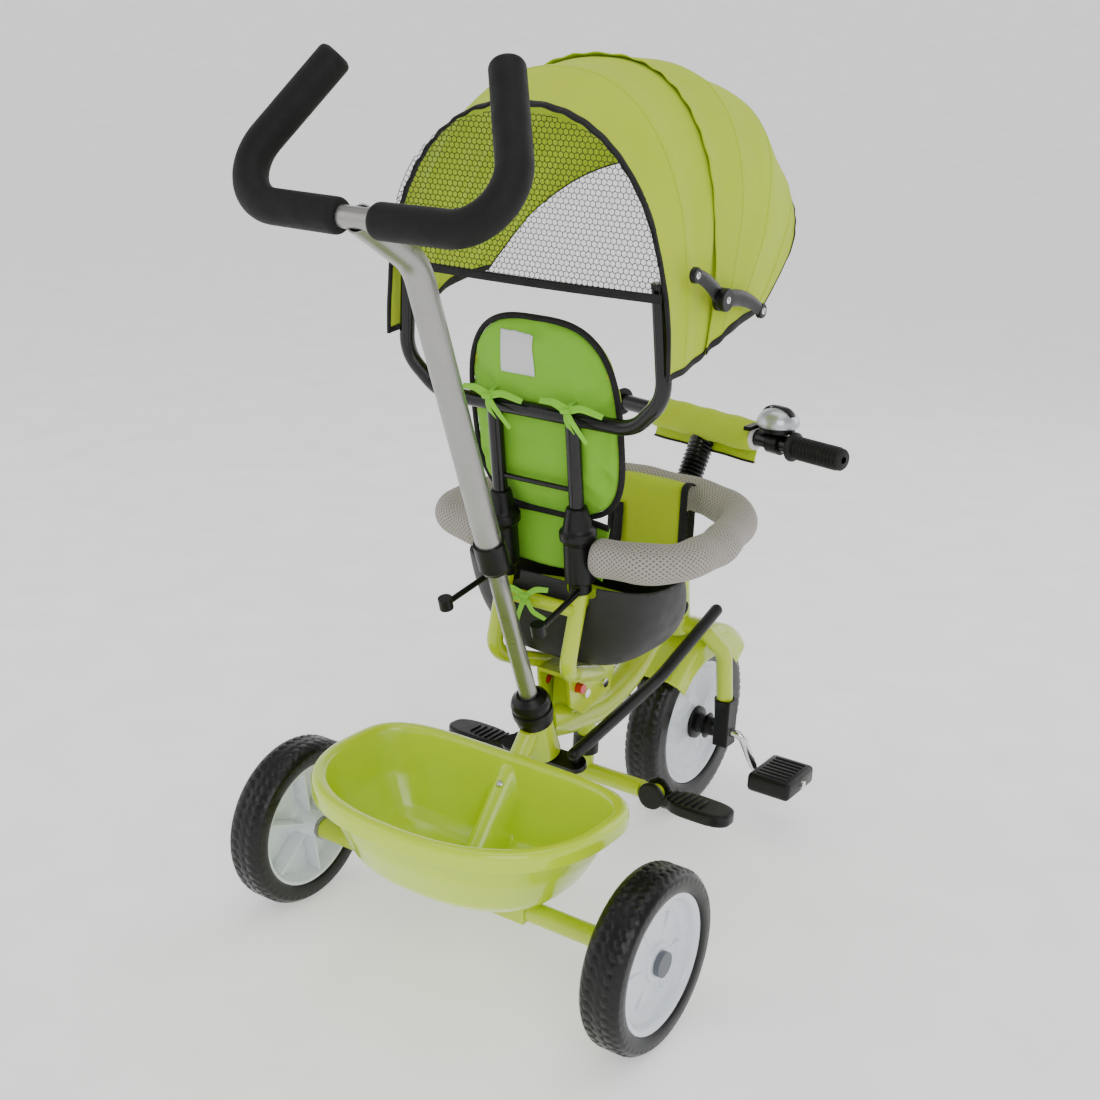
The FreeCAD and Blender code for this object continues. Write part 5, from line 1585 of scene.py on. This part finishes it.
# ---------------------------------------------------------------- pedals, pegs and covers

@dataclass
class FootParts:
    """The pedals and the folding foot pegs."""

    length: float = 62.0
    depth: float = 80.0
    height: float = 26.0
    spots: tuple = ((Side.RIGHT, "pedal_right", (-143, -521.8, 74.9)),
                    (Side.LEFT, "pedal_left", (143, -490.2, 178.1)))

    def pedal(self, name: str, middle: tuple[float, float, float]) -> bpy.types.Object:
        """A pedal block: cut corners, and ribs across its faces above and below."""
        body = block(name, FRAME.at(*middle), Vector((self.length, self.depth, self.height)) * MM, 6 * MM, 3)
        centre = FRAME.at(*middle)
        parts = [body]
        for face in (-1, 1):
            for number in range(7):
                y = (number - 3) * 9.5
                rib = block("rib", centre + Vector((0, y * MM, face * (self.height / 2 - 0.4) * MM)),
                            Vector((self.length - 18, 4.2, 3.2)) * MM, 1.2 * MM, 2)
                parts.append(rib)
        return join(name, parts)

    def build(self, wardrobe: Wardrobe) -> None:
        """Builds the pedals and pegs."""
        for _, node, middle in self.spots:
            pedal = self.pedal(f"{node}_block", middle)
            finish(pedal, node, wardrobe.black_plastic, [node])
        for side in Side:
            label = side.name.lower()
            peg = moulded(f"foot_peg_{label}", f"foot_peg_{label}_moulding", 1.6 * MM, 5)
            low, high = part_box(f"foot_peg_{label}")
            ribs = [peg]
            for number in range(6):
                x = side.value * (126 + 8.5 * number)
                reach = 15.5 * math.sqrt(max(0.15, 1 - ((abs(x) - 138) / 42) ** 2))
                ribs.append(block("rib",
                                  Vector((x * MM, (low.y + high.y) / 2, (low.z + high.z) / 2 + 6.6 * MM)),
                                  Vector((3.0 * MM, 2 * reach * MM, 3.0 * MM)), 1.2 * MM, 2))
            peg = join(f"foot_peg_{label}_moulding", ribs)
            finish(peg, f"foot_peg_{label}", wardrobe.black_plastic, [f"foot_peg_{label}"])


@dataclass
class FrameParts:
    """Mouldings that stay on the frame and the fork."""

    softened: tuple = (("front_fender", "fork", "lime_paint", "lime_plastic", 2.2),
                       ("axle_brackets", "fork", "black_plastic",
                       "black_plastic", 1.5), ("seat_sockets", "seat", "black_plastic", "black_plastic", 1.6))

    def build(self, wardrobe: Wardrobe) -> None:
        """Softens the edges of the moulded covers."""
        for node, body, finish_name, slot, voxel in self.softened:
            piece = moulded(node, f"{node}_moulding", voxel * MM, 5)
            finish(piece, body, getattr(wardrobe, finish_name), [node])


# ---------------------------------------------------------------- dressing, studio and the whole

DRESS = {
    "lime_paint": ("bow_tube", "head_tube", "rear_post", "rear_stay", "axle_beam", "seat_mount", "foot_frame",
                   "fork_frame", "seat_tubes", "seat_bracket"),
    "steel": ("push_lower_tube", "push_upper_tube", "axle_rod"),
    "chrome": ("crank_axle", "seat_bolts"),
    "black_paint": ("steering_stem", "handlebar", "back_frame"),
    "black_plastic": ("base_collar", "foot_bushing", "steering_lever", "clamp_collar", "steering_rod",
                      "bell_base",
                      "bell_lever", "front_hub", "bag_hooks"),
    "cap_plastic": ("hub_cap_left", "hub_cap_right"),
    "red_plastic": ("release_button_left", "release_button_right"),
}


def dress_nodes(wardrobe: Wardrobe) -> None:
    """Gives the CAD nodes that stay in sight their materials."""
    for finish_name, names in DRESS.items():
        for name in names:
            node = FRAME.nodes[name]
            node.data.materials.clear()
            node.data.materials.append(getattr(wardrobe, finish_name))
            LOG.info("%s keeps its shape, %s", name, finish_name)


@dataclass
class Studio:
    """A pale floor, soft lights and the camera."""

    place: Vector = Vector((-0.9189, 1.4625, 1.0084))
    azimuth: float = 213.36
    elevation: float = 18.2075
    roll: float = 2.6275
    lens: float = 51.0

    def camera(self) -> None:
        """The camera, turned by azimuth, elevation and roll."""
        deselect_all()
        bpy.ops.object.camera_add(location=self.place)
        camera = bpy.context.object
        azimuth, elevation, roll = (math.radians(a) for a in (self.azimuth, self.elevation, self.roll))
        back = Vector((math.sin(azimuth) * math.cos(elevation), -math.cos(azimuth) * math.cos(elevation),
                       math.sin(elevation)))
        right = (-back).cross(Vector((0, 0, 1))).normalized()
        up = right.cross(-back)
        right, up = (right * math.cos(roll) + up * math.sin(roll),
                     up * math.cos(roll) - right * math.sin(roll))
        camera.rotation_euler = Matrix((right, up, back)).transposed().to_euler()
        camera.data.lens = self.lens
        camera.data.sensor_width = 36.0
        camera.data.clip_start = 0.01
        bpy.context.scene.camera = camera

    def floor(self) -> None:
        """A wide pale floor that curves up all round, far from the tricycle."""
        def place(u: float, v: float) -> Vector:
            """The place of a point from its two shares."""
            x, y = (u - 0.5) * 32, (v - 0.5) * 32
            rise = max(0.0, math.hypot(x, y) - 8.0)
            return Vector((x, y, 0.09 * rise * rise))

        floor = surface("studio_floor", 64, 64, place, outward=False, angle=80)
        paper = Hard("Pale floor", (0.90, 0.90, 0.90), 0.9).build()
        shader = paper.node_tree.nodes["Principled BSDF"]
        shader.inputs["Emission Color"].default_value = (1, 1, 1, 1)
        shader.inputs["Emission Strength"].default_value = 0.5
        floor.data.materials.append(paper)

    def lights(self) -> None:
        """Two large soft lights, a top light and an even pale sky."""
        for name, place, size, power in (("key", (-2.2, 2.4, 2.6), 2.2, 40),
                                         ("fill", (2.6, 1.6, 1.8), 2.4, 12),
                                         ("top", (0, 0, 3.2), 2.6, 26),
                                         ("front", (-1.2, -2.6, 1.6), 2.0, 16)):
            deselect_all()
            bpy.ops.object.light_add(type="AREA", location=place)
            light = bpy.context.object
            light.name = f"studio_{name}"
            light.data.shape = "SQUARE"
            light.data.size = size
            light.data.energy = power
            light.rotation_euler = (Vector((0, 0, 0.45)) - Vector(place)).to_track_quat("-Z", "Y").to_euler()
        world = bpy.data.worlds.new("Studio sky")
        world.use_nodes = True
        world.node_tree.nodes["Background"].inputs["Color"].default_value = (1, 1, 1, 1)
        world.node_tree.nodes["Background"].inputs["Strength"].default_value = 0.5
        bpy.context.scene.world = world

    def build(self) -> None:
        """Builds the studio."""
        self.camera()
        self.floor()
        self.lights()


def main() -> None:
    """Builds the whole tricycle in order."""
    logging.basicConfig(level=logging.INFO, format="%(name)s: %(message)s")
    Studio().build()
    wardrobe = Wardrobe()
    dress_nodes(wardrobe)
    build_wheels(wardrobe)
    for assembly in (Basket(), FrameParts(), Handlebar(), PushHandle(), FootParts(), SeatUnit(), Canopy()):
        assembly.build(wardrobe)


if __name__ == "__main__":
    main()
